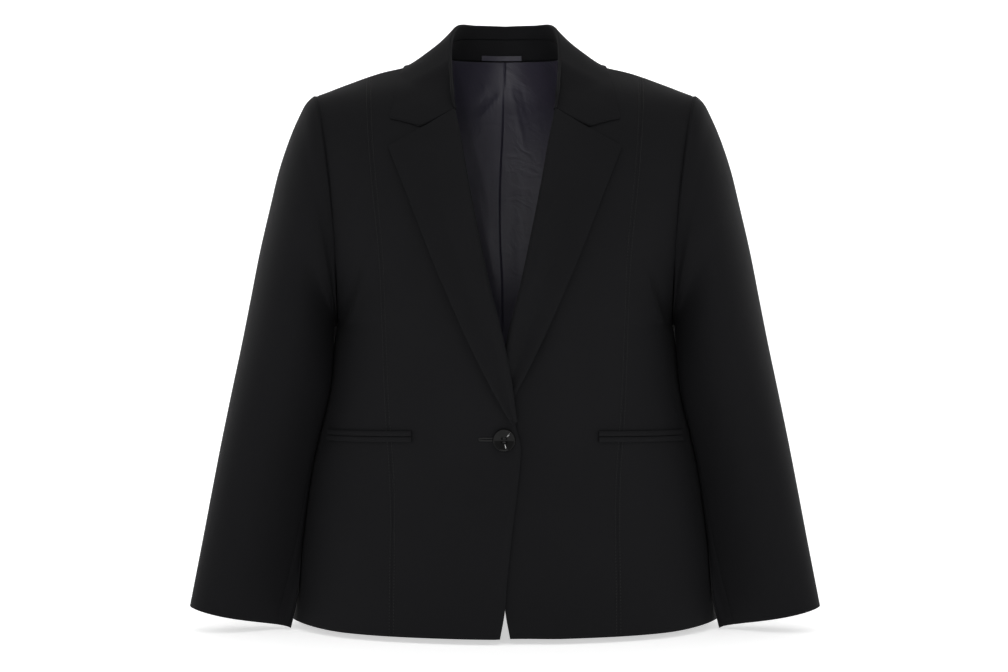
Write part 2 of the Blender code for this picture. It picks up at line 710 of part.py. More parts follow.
def lining_sheet(a, v):
    """The back lining, just inside the back, hanging free below the neck seam with a
    pleat down its middle and one soft crease."""
    near = np.abs(a)
    skin = body(near, v, back=True)
    out = body_normal(near, v, back=True)
    free = ramp(2 - v, 0.0, 0.15)
    inset = LINING_INSET + LINING_FREE * free
    sheet = skin - out * inset[..., None]
    sheet = sheet * points(np.where(a < 0, -1.0, 1.0), 1, 1)
    x, z = sheet[..., 0], sheet[..., 2]
    pleat = np.exp(-(((x + 0.0015) / 0.004) ** 2)) * ramp(-z, 0.0, 0.06) * 0.0036
    span = ((x + 0.0035) * -0.70 + (z + 0.0085) * -0.72) / 0.046
    off = (x + 0.0035) * 0.72 - (z + 0.0085) * 0.70
    crease = 0.0022 * np.exp(-((off / 0.007) ** 2)) * ramp(span, -0.15, 0.2)
    crease = crease * (1 - ramp(span, 0.8, 1.2))
    return sheet + points(0, pleat + crease, 0)


def build_lining(satin):
    near = np.array([0.02, 0.05])
    a = np.concatenate([near, back_columns()[1:-1], [0.93]])
    a = np.concatenate([-a[::-1], [0], a])[None, :]
    v = np.minimum(rows_of_body()[1:, None], LINING_TOP)
    wall("lining_back", lining_sheet(a, v + 0 * a), satin, SATIN)


def build_loop(satin):
    """The hanger loop, flat on the inside of the stand just above the neck seam."""
    table_x = np.linspace(0, 0.45, 60)
    quarter_x = np.abs(collar_sheet(table_x, 0 * table_x)[:, 0])
    x = np.linspace(*LOOP_X, 9)
    share = np.sign(x) * np.interp(np.abs(x), quarter_x, table_x)
    height = np.linalg.norm(
        collar_sheet(share * 0, share * 0) - collar_sheet(share * 0, share * 0 + 1),
        axis=-1,
    )
    column = np.array([0.05, 1.0]) * LOOP_HEIGHT / height[0]
    grid = collar_sheet(
        np.repeat(share[None, :], 2, 0), np.repeat(column[:, None], len(x), 1)
    )
    inward = grid_normals(grid)
    inward = inward * -np.sign(inward[..., 1:2])
    lift = CLOTH / 2 + 3 * SEAM_GAP + SATIN / 2
    wall("hanger_loop", grid + lift * inward, satin, SATIN, inward)


def build_button(gloss):
    """A turned button with a raised rim, a dished middle and four thread holes."""
    rim, dish = BUTTON_RADIUS * 0.80, BUTTON_RADIUS * 0.70
    thick = BUTTON_THICK
    profile = [
        (0.0, thick * 0.55),
        (dish, thick * 0.62),
        (rim, thick * 0.95),
        (BUTTON_RADIUS * 0.88, thick),
        (BUTTON_RADIUS * 0.96, thick * 0.88),
        (BUTTON_RADIUS, thick * 0.62),
        (BUTTON_RADIUS * 0.96, thick * 0.30),
        (BUTTON_RADIUS * 0.80, 0.0),
        (0.0, 0.0),
    ]
    mesh = bpy.data.meshes.new("button")
    mesh.from_pydata(
        [(r, 0, z) for r, z in profile], [(k, k + 1) for k in range(len(profile) - 1)], []
    )
    piece = add("button", mesh, gloss)
    turn = piece.modifiers.new("turn", "SCREW")
    turn.steps = turn.render_steps = 28
    turn.use_merge_vertices = True
    turn.merge_threshold = 1e-5
    turn.use_smooth_shade = True
    front_y = body(share_at(0.0, np.array(BUTTON_V)), BUTTON_V)[..., 1]
    seat = float(front_y) - CLOTH / 2 - 2 * SEAM_GAP
    piece.location = (BUTTON_X, seat, BUTTON_Z)
    piece.rotation_euler = (math.pi / 2, 0, 0)
    for k in range(4):
        around = math.pi / 4 + k * math.pi / 2
        bpy.ops.mesh.primitive_cylinder_add(
            vertices=10, radius=BUTTON_HOLE_RADIUS, depth=BUTTON_THICK * 3
        )
        cutter = bpy.context.object
        cutter.name = f"thread_hole_{k}"
        cutter.location = (
            BUTTON_X + BUTTON_HOLE_REACH * math.cos(around),
            seat,
            BUTTON_Z + BUTTON_HOLE_REACH * math.sin(around),
        )
        cutter.rotation_euler = (math.pi / 2, 0, 0)
        cutter.hide_render = True
        cutter.display_type = "WIRE"
        for group in list(cutter.users_collection):
            group.objects.unlink(cutter)
        bpy.data.collections["cutters"].objects.link(cutter)
        cut = piece.modifiers.new(f"hole_{k}", "BOOLEAN")
        cut.operation = "DIFFERENCE"
        cut.object = cutter


def level_of(z, line):
    """The row v at which a line of the front has this height."""
    v = np.linspace(0, 2, 401)
    return float(np.interp(z, body(seam_share(line, v), v)[:, 2], v))


GORGE_V = level_of(GORGE_Z, FRONT_EDGE)
BREAK_V = level_of(BREAK_Z, FRONT_EDGE)
BUTTON_V = level_of(BUTTON_Z, FRONT_EDGE)


def main():
    clear_scene()
    fabric = material("black_suiting", FABRIC)
    satin = material("grey_satin", LINING)
    gloss = material("black_gloss", BUTTON)
    build_body(fabric)
    build_sleeves(fabric)
    build_lapels(fabric)
    build_collar(fabric)
    build_pockets(fabric)
    build_lining(satin)
    build_loop(satin)
    build_button(gloss)


main()
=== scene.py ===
"""The looks of the single-breasted blazer: wool suiting, satin back lining, glossy button.

Metres, +Z up, front towards -Y, the wearer's left at +X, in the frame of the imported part.
Every cloth piece is a thin closed shell around a sheet of middle points, and every sheet is
a function of two parameters. The sheets follow the part's own solids and add what those
leave out: rounded edges, seam troughs, stitched rows, soft folds and pressing.
"""

import math

import bpy
import numpy as np
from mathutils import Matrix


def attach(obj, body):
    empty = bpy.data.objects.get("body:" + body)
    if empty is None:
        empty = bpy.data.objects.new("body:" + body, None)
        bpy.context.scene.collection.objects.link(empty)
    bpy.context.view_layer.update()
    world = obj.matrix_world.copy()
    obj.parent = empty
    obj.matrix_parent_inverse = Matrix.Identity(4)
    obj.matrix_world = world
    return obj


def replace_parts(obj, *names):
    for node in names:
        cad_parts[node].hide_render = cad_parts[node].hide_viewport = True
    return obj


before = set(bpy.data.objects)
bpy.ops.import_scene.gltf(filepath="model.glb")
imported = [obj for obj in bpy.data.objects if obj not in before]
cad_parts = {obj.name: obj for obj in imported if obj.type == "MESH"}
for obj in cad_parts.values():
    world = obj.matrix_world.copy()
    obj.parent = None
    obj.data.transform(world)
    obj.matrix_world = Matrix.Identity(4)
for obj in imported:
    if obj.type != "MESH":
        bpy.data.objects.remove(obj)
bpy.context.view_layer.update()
BODY = "root"
PI, TAU = math.pi, math.tau

# ---- sizes, in metres

CLOTH = 0.0016  # wall of the suiting
SATIN = 0.0009  # wall of the lining
LAY = 0.003  # middle to middle, from a folded-over piece to the cloth below it
TUCK = 0.018  # of the sleeve's inner side, backwards near the armhole
PINCH = 0.62  # of the sleeve's front depth, beside the body
UNDERARM_STEP = 0.0023  # of the sleeve's inner side, off the body at the armhole
SLEEVE_CLEAR = 0.0027  # least gap between the sleeve and the side of the body
SOFT = 0.003  # half width of the bend from free sleeve to sleeve on the body
RIM_ROUND = 0.15  # how far a rim's rounding reaches in, as a share of half the wall
SEAM_INSET = 0.00002  # between a panel's rim and its seam line
CELL = 0.003  # of a grid, on the big panels

HEM_LIFT = 0.003  # of the hem, towards its sides
HEM_Z = -0.61
UNDERARM_Z = -0.278
LESS_ABOVE = math.radians(42)  # of the turn of a row's arc, above the underarm
LAP_PRESS, LAP_EASE = 0.007, 0.0012  # of the under front inwards, and less of it below
LAP_SIDE, LAP_TOP = (0.018, 0.062), (0.235, 0.3)  # where the press fades, in x and down
NECK_HALF_WIDTH = 0.066
NECK_DEPTH = 0.075
NECK_BACK_Z = 0.029
# Of the lining inside the back, more of it below the neck seam, and less beside the seam.
LINING_INSET, LINING_FREE, LINING_SEWN = 0.0047, 0.0025, 0.0015
LINING_TOP = 1.993  # the row v of its top edge
LINING_RISE = 0.0024  # of its top edge, to the stand's foot
LOOP_X = (-0.028, 0.02)
LOOP_HEIGHT = 0.006
FOOT_LIFT = 0.0012  # of the collar's foot, above the neck seam
ROWS_BELOW = 12  # rows of the solid's own grid between the hem and the underarm

BUTTON_RADIUS = 0.0122
BUTTON_THICK = 0.0042
BUTTON_X, BUTTON_Z = -0.001, -0.401
BUTTON_HOLE_RADIUS = 0.0011
BUTTON_HOLE_REACH = 0.003

POCKET_X = (0.0984, 0.1925)
POCKET_Z = (-0.398, -0.4002)
JET_HEIGHT = 0.0052
JET_THICK = 0.0021
SLIT = 0.0011

STITCH_PITCH, STITCH_LENGTH = 0.0034, 0.0024
STITCH_TROUGH = 0.00016
STITCH_RADIUS = 0.0003
STITCH_FROM_SEAM = 0.0025


def table(names, *rows):
    """Named columns from rows of numbers."""
    return dict(zip(names.split(), np.array(rows, float).T))


RINGS = table(
    "z half_width front back",
    (-0.61, 0.2395, 0.153, 0.146),  # hem
    (-0.52, 0.2308, 0.15, 0.14),
    (-0.43, 0.2185, 0.148, 0.13),  # waist
    (-0.35, 0.1995, 0.153, 0.124),
    (-0.278, 0.188, 0.157, 0.12),  # underarm
)
YOKE = table(
    "share front_z front_y back_z back_y",
    (0.0, -0.278, -0.157, -0.278, 0.12),
    (0.25, -0.208, -0.153, -0.2, 0.119),
    (0.5, -0.138, -0.138, -0.125, 0.114),
    (0.75, -0.066, -0.111, -0.052, 0.1),
    (0.875, -0.014, -0.066, -0.012, 0.088),
    (1.0, 0.038, 0.0, 0.029, 0.075),
)
SLEEVE = table(
    "station outer_x outer_z inner_x inner_z mid_y front_y back_y front_in back_in",
    (0, 0.2118, -0.0215, 0.188, -0.278, 0.0, -0.088, 0.07, 0.0118, 0.003),
    (1, 0.2256, -0.035, 0.1895, -0.2795, -0.001, -0.091, 0.075, 0.0105, 0.003),
    (2, 0.2389, -0.0622, 0.189, -0.283, -0.003, -0.094, 0.079, 0.0104, 0.0014),
    (3, 0.2527, -0.1028, 0.1885, -0.29, -0.005, -0.097, 0.081, 0.0105, 0.0005),
    (4, 0.2624, -0.1435, 0.187, -0.299, -0.008, -0.099, 0.08, 0.0113, 0.0),
    (5, 0.2744, -0.1974, 0.185, -0.315, -0.012, -0.1, 0.077, 0.0135, 0.0),
    (6, 0.2845, -0.2513, 0.18, -0.336, -0.015, -0.1, 0.072, 0.012, 0.0),
    (7, 0.2946, -0.3049, 0.177, -0.3655, -0.018, -0.099, 0.064, 0.008, 0.0),
    (8, 0.3052, -0.3583, 0.1865, -0.404, -0.022, -0.098, 0.054, 0.004, 0.0),
    (9, 0.3151, -0.4115, 0.197, -0.4485, -0.028, -0.096, 0.041, 0.0, 0.0),
    (10, 0.3244, -0.4645, 0.208, -0.4975, -0.036, -0.094, 0.025, 0.0, 0.0),
    (11, 0.3335, -0.5171, 0.219, -0.5475, -0.043, -0.091, 0.007, 0.0, 0.0),
    (12, 0.3465, -0.5885, 0.2367, -0.6136, -0.05, -0.0865, -0.0135, 0.0, 0.0),
)
SHOULDER = table(
    "x z",
    (0.0, 0.038),
    (0.066, 0.0225),
    (0.115, 0.011),
    (0.139, 0.0055),
    (0.178, -0.008),
    (0.2118, -0.0215),
)
FRONT_EDGE = table(
    "z x",
    (-0.61, 0.0052),
    (-0.58, 0.0),
    (-0.558, -0.0014),
    (-0.52, -0.0052),
    (-0.483, -0.0094),
    (-0.454, -0.013),
    (-0.428, -0.0157),
    (-0.405, -0.016),
    (-0.39, -0.012),  # break
    (-0.3417, -0.005),
    (-0.2894, 0.005),
    (-0.2371, 0.018),
    (-0.1889, 0.028),
    (-0.1333, 0.039),
    (-0.0742, 0.0495),
    (-0.048, 0.055),  # gorge
    (-0.02, 0.0605),
    (0.0225, 0.066),  # shoulder seam
)
PRINCESS = table(
    "z x",
    (-0.61, 0.12),
    (-0.42, 0.1215),
    (-0.39, 0.124),
    (-0.282, 0.129),
    (-0.21, 0.132),
    (-0.118, 0.141),
    (0.003, 0.153),
)
BREAK_Z, GORGE_Z = -0.39, -0.048
LAPEL_TIP = (0.1246, -0.0897)
LAPEL_BOW = 0.0245  # of the lapel's edge, outwards from a straight line
ROLL_CLEAR = 0.0005  # between the lapel's roll and the front's edge
EDGE_ROLL, EDGE_ROLL_WIDTH = 0.0022, 0.0036  # of the top front's edge, inwards
FALL_BULGE = 0.0062  # of the collar's fall, off a straight line
FALL_PULL = 0.45  # where the bulge is, as a share of the fall's length
FALL_EDGE_DROP = 0.0013  # of the fall's edge onto the shoulder
COLLAR = table(
    "share fold_x fold_y fold_z edge_x edge_y edge_z",
    (0.0, 0.0, 0.065, 0.0665, 0.0, 0.092, 0.0165),
    (0.2, 0.032, 0.056, 0.066, 0.045, 0.084, 0.0165),
    (0.4, 0.053, 0.028, 0.061, 0.086, 0.05, 0.015),
    (0.55, 0.0595, -0.002, 0.044, 0.113, 0.0, 0.013),
    (0.7, 0.06, -0.036, 0.014, 0.118, -0.042, -0.011),
    (0.85, 0.058, -0.072, -0.017, 0.1205, -0.07, -0.036),
    (1.0, 0.055, -0.104, -0.048, 0.123, -0.085, -0.0615),
)
SHOULDER_SHARE = 0.55  # of the way round the collar, at the shoulder seam
STAND_END = 0.8
STAND_SHARE, STAND_REACH = 0.64, 0.86  # height at the centre, and share where it is 0
NOTCH_DROP = 0.0268
GORGE_TUCK = 0.0026  # of the collar's end, below the top edge of the lapel
GORGE_STEP = 0.0002  # of the collar, below the lapel that it tucks under

LEFT, RIGHT = np.array([1.0, 1, 1]), np.array([-1.0, 1, 1])  # sheets are made at +X
FORWARD, BACKWARD = (0.0, -1.0, 0.0), (0.0, 1.0, 0.0)


# ---- sheets


def along(columns, name, at):
    """A column at a value of the first column, on a smooth cubic through the rows."""
    keys, values = next(iter(columns.values())), columns[name]
    slopes = np.gradient(values, keys)
    at = np.clip(at, keys[0], keys[-1])
    low = np.clip(np.searchsorted(keys, at) - 1, 0, len(keys) - 2)
    width = keys[low + 1] - keys[low]
    t = (at - keys[low]) / width
    rise = values[low + 1] - values[low]
    bend = t * (1 - t) * (
        (1 - t) * (slopes[low] * width - rise) + t * (rise - slopes[low + 1] * width)
    )
    return values[low] + t * rise + bend


def part(value, start, end):
    """0 before start, 1 after end, even between."""
    return np.clip((value - start) / (end - start), 0, 1)


def ramp(value, start, end):
    """0 before start, 1 after end, smooth between."""
    t = part(value, start, end)
    return t * t * (3 - 2 * t)


def hump(value, middle, width):
    """A bell of height 1 around middle."""
    return np.exp(-(((value - middle) / width) ** 2))


def bells(x, z, rows, begin, end):
    """The sum of bells across slanting lines. A row holds x and height of the line's head
    and of its foot, half its width, and how far it stands out. Along the line each bell
    grows between the two shares of begin and fades between those of end."""
    height = np.zeros(x.shape)
    for head_x, head_z, foot_x, foot_z, width, depth in rows:
        run = np.array([foot_x - head_x, foot_z - head_z])
        long = float(np.hypot(*run))
        run = run / long
        span = ((x - head_x) * run[0] + (z - head_z) * run[1]) / long
        off = (x - head_x) * run[1] - (z - head_z) * run[0]
        height += depth * hump(off, 0, width) * ramp(span, *begin) * (1 - ramp(span, *end))
    return height


def points(x, y, z):
    return np.stack(np.broadcast_arrays(x, y, z), axis=-1)


def between(ends, share):
    return ends[0] + (ends[1] - ends[0]) * share


def handed(sheet, sign):
    """The sheet's points, mirrored to -X where the sign is below 0."""
    return sheet * points(np.where(sign < 0, -1.0, 1.0), 1, 1)


def run_of(line):
    """How far each point of a line lies along it, in metres."""
    return np.append(0, np.linalg.norm(np.diff(line, axis=0), axis=1).cumsum())


def unit(vectors):
    return vectors / (np.linalg.norm(vectors, axis=-1, keepdims=True) + 1e-12)


def section(angle, station):
    """The sleeve's section: 0 at the inner point, pi at the outer one, the front between."""
    col = {name: along(SLEEVE, name, station) for name in SLEEVE}
    rise = (1 - np.cos(angle)) / 2
    reach = np.abs(np.sin(angle))
    front = np.sin(angle) >= 0
    inside = ((1 + np.cos(angle)) / 2) ** 2
    pinch = PINCH * inside * ramp(station, 1.5, 5.0)
    tuck = TUCK * inside**3 * ramp(station, 0.0, 2.5) * (1 - ramp(station, 5.0, 8.0))
    depth = np.where(front, (1 - pinch) * col["front_y"], col["back_y"]) - col["mid_y"]
    lean = np.where(front, col["front_in"], col["back_in"])
    x = col["inner_x"] + (col["outer_x"] - col["inner_x"]) * rise - lean * reach**1.3
    z = col["inner_z"] + (col["outer_z"] - col["inner_z"]) * rise
    return points(x, col["mid_y"] + tuck + depth * reach, z)


def upper_back(x):
    """A smooth line near the shoulder seam and neck, which the rows of the back near."""
    rise = NECK_DEPTH * (1 - ramp(np.abs(x), 0.0, 2 * NECK_HALF_WIDTH))
    return points(x, rise, along(SHOULDER, "z", np.abs(x)))


def shoulder_line(x, back):
    """The shoulder seam, and behind it the back of the neck seam, at each x."""
    across = np.clip(x / NECK_HALF_WIDTH, 0, 1)
    round_neck = np.sqrt(1 - across**2) if back else 0 * across
    neck_z = along(SHOULDER, "z", NECK_HALF_WIDTH)
    z = along(SHOULDER, "z", np.abs(x))
    if back:
        in_neck = np.abs(x) < NECK_HALF_WIDTH
        z = np.where(in_neck, neck_z + (NECK_BACK_Z - neck_z) * round_neck, z)
    return points(x, NECK_DEPTH * round_neck, z)


def side_and_middle(v, back):
    """The side end of the body's row v, and its point on the centre line."""
    z = between((HEM_Z, UNDERARM_Z), np.clip(v, 0, 1))
    depth = along(RINGS, "back", z) if back else -along(RINGS, "front", z)
    side = points(along(RINGS, "half_width", z), 0, z)
    share = np.clip(v - 1, 0, 1)
    hole = section(-PI * share if back else PI * share, 0.0)
    name = "back" if back else "front"
    above = (v > 1)[..., None]
    middle = points(0, depth, z)
    yoke = points(0, along(YOKE, name + "_y", share), along(YOKE, name + "_z", share))
    return np.where(above, hole, side), np.where(above, yoke, middle)


def arc_turn(v):
    """How far the arc of row v turns: a quarter turn below the underarm, less above."""
    return PI / 2 - LESS_ABOVE * ramp(v, 1.0, 1.4)


def plain_body(a, v, back):
    """Row v as part of an ellipse from its point on the centre line to its side end."""
    side, middle = side_and_middle(v, back)
    turn = arc_turn(v)
    share = (np.cos(a * turn) - np.cos(turn)) / (1 - np.cos(turn))
    x = side[..., 0] * np.sin(a * turn) / np.sin(turn)
    yz = side[..., 1:] + (middle[..., 1:] - side[..., 1:]) * share[..., None]
    lift = HEM_LIFT * ramp(a, 0.5, 0.85) * np.clip(1 - v * ROWS_BELOW, 0, 1)
    return points(x, yz[..., 0], yz[..., 1] + lift)


def body(a, v, back=False):
    """The body's sheet: v from the hem, 0, over the underarm, 1, to the shoulder, 2, and a
    from the centre line, 0, to the side seam or armhole, 1. Rows near 2 bend to the
    shoulder seam by a cube of the share of the way there."""
    a, v = np.broadcast_arrays(np.asarray(a, float), np.asarray(v, float))
    sheet = plain_body(a, v, back)
    top = plain_body(a, np.full_like(v, 2.0), back)
    x = top[..., 0]
    bend = shoulder_line(x, back) - top
    share = (part(v, 1.5, 2.0) ** 3)[..., None]
    if not back:
        return sheet + share * bend
    corner = (part(v, 1.8, 2.0) ** 2)[..., None]
    soft = upper_back(x) - top
    return sheet + share * soft + corner * (bend - soft)


def share_at(x, v, back=False):
    """The share a at which row v has this x."""
    side, _ = side_and_middle(np.asarray(v, float), back)
    turn = arc_turn(v)
    return np.arcsin(np.clip(x * np.sin(turn) / side[..., 0], -1, 1)) / turn


def seam_share(line, v):
    """The share a at which row v of the front crosses a line given as x by height."""
    a = np.zeros_like(v)
    for _ in range(12):
        a = share_at(along(line, "x", body(a, v)[..., 2]), v)
    return a


def locate(x, z):
    """The a and v of the front's point at this x and height, by Newton's rule on v."""
    v = np.interp(z, (HEM_Z, UNDERARM_Z, 0.02), (0, 1, 2))
    for _ in range(16):
        a, step = share_at(x, v), 1e-3
        here = body(a, v)[..., 2]
        slope = (body(a, v + step)[..., 2] - here) / step
        v = np.clip(v + (z - here) / slope, 0, 2 - step)
    return share_at(x, v), v


def normal_of(sheet, first, second, ends):
    """The unit normal of a sheet that is a function of two parameters, the second of
    which stays between ends."""
    near = 1e-3
    low, high = (np.clip(second + by, *ends) for by in (-near, near))
    across = sheet(first + near, second) - sheet(first - near, second)
    return unit(np.cross(across, sheet(first, high) - sheet(first, low)))


def body_normal(a, v, back=False):
    """The outward normal of the body's sheet."""
    found = normal_of(lambda a, v: body(a, v, back), a, v, (0, 2))
    return -found if back else found


def under_lap(sheet):
    """The under front, at +X, pressed inwards where the top front laps over it."""
    x, z = sheet[..., 0], sheet[..., 2]
    depth = LAP_PRESS - LAP_EASE * ramp(-z, 0.4, 0.44)
    press = depth * (1 - ramp(x, *LAP_SIDE)) * ramp(-z, *LAP_TOP)
    return sheet + points(0, press, 0)


def sleeve(angle, station):
    """The sleeve's sheet, pressed out where it would meet the side of the body."""
    sheet = section(angle, station)
    x, y, z = np.moveaxis(sheet, -1, 0)
    level = np.clip(z, HEM_Z, UNDERARM_Z)
    depth = np.where(y < 0, along(RINGS, "front", level), along(RINGS, "back", level))
    side = along(RINGS, "half_width", level) * np.sqrt(np.clip(1 - (y / depth) ** 2, 0, 1))
    wall = side + SLEEVE_CLEAR * np.clip(station, 0, 1)
    pushed = wall + SOFT * np.logaddexp(0, (x - wall) / SOFT)
    near = ramp(station, 0.0, 1.0) * (1 - ramp(z, UNDERARM_Z, UNDERARM_Z + 0.09))
    return points(x + (pushed - x) * near, y, z)


def neck_seam(share):
    """The seam of the collar and the body, from the centre back, 0, to the gorge, 1."""
    quarter = part(share, 0, SHOULDER_SHARE) * PI / 2
    behind = shoulder_line(NECK_HALF_WIDTH * np.sin(quarter), True)
    v = between((2, GORGE_V), part(share, SHOULDER_SHARE, 1))
    before = body(seam_share(FRONT_EDGE, v), v)
    return np.where((share < SHOULDER_SHARE)[..., None], behind, before)


def collar_line(name, share):
    """A point of the collar's fold or edge at each share of the way round."""
    share = np.clip(share, 0, 1)
    return points(*(along(COLLAR, f"{name}_{axis}", share) for axis in "xyz"))


def collar_sheet(share, column):
    """The collar across its width: column 0 to 1 up the inside of the neck, 1 to 2 over
    the fold in a half circle, and 2 to 3 down the fall on a bent line to its edge."""
    near = np.abs(share)
    fold, edge, seam = collar_line("fold", near), collar_line("edge", near), neck_seam(near)
    forward = collar_line("fold", near + 1e-3) - collar_line("fold", near - 1e-3)
    fold = fold + (seam - fold) * ramp(near, 0.9, 1.0)[..., None]
    down = seam - fold
    height = np.linalg.norm(down, axis=-1, keepdims=True)
    crest = -unit(unit(edge - fold) + down / (height + 0.004))
    fold = fold + crest * FOOT_LIFT * ramp(near, 0.7, 1.0)[..., None]
    away = unit(np.cross(crest, forward))
    centre = fold + LAY / 2 * away
    foot = np.clip(FOOT_LIFT / (height + 1e-4), 0, 1)
    climb = foot + (1 - foot) * np.clip(column, 0, 1)[..., None]
    half_turn = (np.clip(column - 1, 0, 1) * PI)[..., None]
    down_fall = np.clip(column - 2, 0, 1)
    fall = down_fall[..., None]
    inside = seam + (fold - seam) * climb
    over = centre + LAY / 2 * (np.sin(half_turn) * crest - np.cos(half_turn) * away)
    start = centre + LAY / 2 * away
    length = np.linalg.norm(edge - start, axis=-1, keepdims=True)
    pull = start - crest * length * FALL_PULL + away * FALL_BULGE
    outside = (1 - fall) ** 2 * start + 2 * fall * (1 - fall) * pull + fall**2 * edge
    at_end = part(near, 0.9, 1)
    notch = NOTCH_DROP * (1 - np.abs(2 * down_fall - 1))
    hidden = GORGE_TUCK * np.sin(TAU * np.clip(down_fall, 0, 0.5))
    outside = outside - points(0, 0, at_end * (notch + hidden))
    sheet = np.where((column <= 2)[..., None], over, outside)
    sheet = np.where((column <= 1)[..., None], inside, sheet)
    return handed(rest_on_body(sheet, column > 2), share)


def rest_on_body(sheet, where):
    """Points nearer to the body's outside than a laid piece should be, moved out to it."""
    spread_a = np.linspace(-0.2, 1, 61)[None, :]
    spread_v = np.linspace(1.3, 1.995, 71)[:, None]
    found = sheet.reshape(-1, 3).copy()
    chosen = np.broadcast_to(where, sheet.shape[:-1]).reshape(-1)
    for back in (False, True):
        skin = body(spread_a, spread_v, back).reshape(-1, 3)
        out = body_normal(spread_a, spread_v, back).reshape(-1, 3)
        own = np.flatnonzero(chosen & ((found[:, 1] > 0) == back))
        for _ in range(2):
            gap = np.linalg.norm(found[own, None] - skin[None], axis=-1)
            nearest = gap.argmin(axis=1)
            height = ((found[own] - skin[nearest]) * out[nearest]).sum(axis=1)
            lift = np.where(gap.min(axis=1) < 0.03, np.clip(LAY - height, 0, None), 0)
            found[own] += lift[:, None] * out[nearest]
    return found.reshape(sheet.shape)


def level_of(*heights):
    """The rows v at which the front's edge has these heights."""
    v = np.linspace(0, 2, 401)
    return np.interp(heights, body(seam_share(FRONT_EDGE, v), v)[:, 2], v)


GORGE_V, BREAK_V, BUTTON_V = level_of(GORGE_Z, BREAK_Z, BUTTON_Z)


# ---- cloth shells


def face_vectors(grid):
    """A vector along each face's normal, twice as long as its area."""
    return np.cross(grid[1:, 1:] - grid[:-1, :-1], grid[1:, :-1] - grid[:-1, 1:])


def grid_normals(grid):
    """A unit normal at each point of a grid, the mean over the faces that meet there."""
    face = unit(face_vectors(grid))
    total = np.zeros_like(grid)
    for rows in (slice(None, -1), slice(1, None)):
        for columns in (slice(None, -1), slice(1, None)):
            total[rows, columns] += face
    return unit(total)


def lengths(grid):
    """How far each point lies along its column and along its row, in metres."""
    down = np.linalg.norm(np.diff(grid, axis=0, prepend=grid[:1]), axis=-1)
    over = np.linalg.norm(np.diff(grid, axis=1, prepend=grid[:, :1]), axis=-1)
    return down.cumsum(axis=0), over.cumsum(axis=1)


def shares(length, cell=CELL, first=(), last=()):
    """Shares from 0 to 1 for a strip of this length in metres: close together within 2 mm
    of each end, so that an edge can be round, and about a cell apart between, with the
    places of a stitched row's relief added at its first or last end."""
    near = np.array([0.0, 0.00012, 0.0004, 0.0008, 0.0013, 0.002])
    count = max(2, int(round((length - 2 * near[-1]) / cell)))
    middle = np.linspace(near[-1], length - near[-1], count + 1)[1:-1]
    found = np.concatenate([near, middle, (length - near)[::-1]]) / length
    extra = [x / length for x in first] + [1 - x / length for x in last]
    keep = [s for s in found if all(abs(s - e) * length > 0.0007 for e in extra)]
    return np.unique(np.array(keep + extra))


def edge_distances(grid):
    """The distance of each point from the first and last row and the first and last
    column, along the grid's own lines."""
    down, over = lengths(grid)
    return down, down[-1:] - down, over, over[:, -1:] - over


def rounded(grid, thick):
    """Half of the wall at each point: a quarter of an ellipse from nothing at the rim to
    half of the thickness, RIM_ROUND of that half in from it."""
    edge = np.minimum.reduce(edge_distances(grid))
    reach = np.clip(edge / (thick / 2 * RIM_ROUND), 0, 1)
    return thick / 2 * np.sqrt(1 - (1 - reach) ** 2)


def inset(grid):
    """The grid with its rim drawn in by the seam inset."""
    grid = grid.copy()
    for _ in range(2):
        for edge, inner in ((0, 5), (-1, -6)):
            grid[edge] += unit(grid[inner] - grid[edge]) * SEAM_INSET
        grid = grid.swapaxes(0, 1)
    return grid


def shell(name, grid, finish, thick, outward):
    """A closed shell: two skins, each half of the wall away from the sheet along its
    normal, which share their rim. Its UV map holds the cloth's own lengths in metres."""
    if outward is not None:
        middle = (grid.shape[0] // 2, grid.shape[1] // 2)
        if (grid_normals(grid)[middle] * outward).sum() < 0:
            grid = grid[:, ::-1]
    down, over = lengths(grid)
    normals = grid_normals(grid)
    half = rounded(grid, thick)[..., None]
    grid = inset(grid)
    index = np.arange(half.size).reshape(grid.shape[:2])
    under = index + half.size
    for rim in ((0, slice(None)), (-1, slice(None)), (slice(None), 0), (slice(None), -1)):
        under[rim] = index[rim]
    both = np.concatenate([quads_of(index), quads_of(under)[:, ::-1]])
    skins = np.concatenate([grid + normals * half, grid - normals * half])
    lay = np.stack([over, down], axis=-1).reshape(-1, 2)
    return mesh_piece(name, skins, both, finish, np.tile(lay, (2, 1)))


def face_outwards(at, quads):
    """The quads of a closed skin, turned round if they face its inside."""
    corner = at[quads]
    volume = sum(
        (corner[:, 0] * np.cross(corner[:, k], corner[:, k + 1])).sum() for k in (1, 2)
    )
    return quads[:, ::-1] if volume < 0 else quads


def quads_of(index):
    """The faces of a grid of point numbers."""
    corners = index[:-1, :-1], index[:-1, 1:], index[1:, 1:], index[1:, :-1]
    return np.stack(corners, axis=-1).reshape(-1, 4)


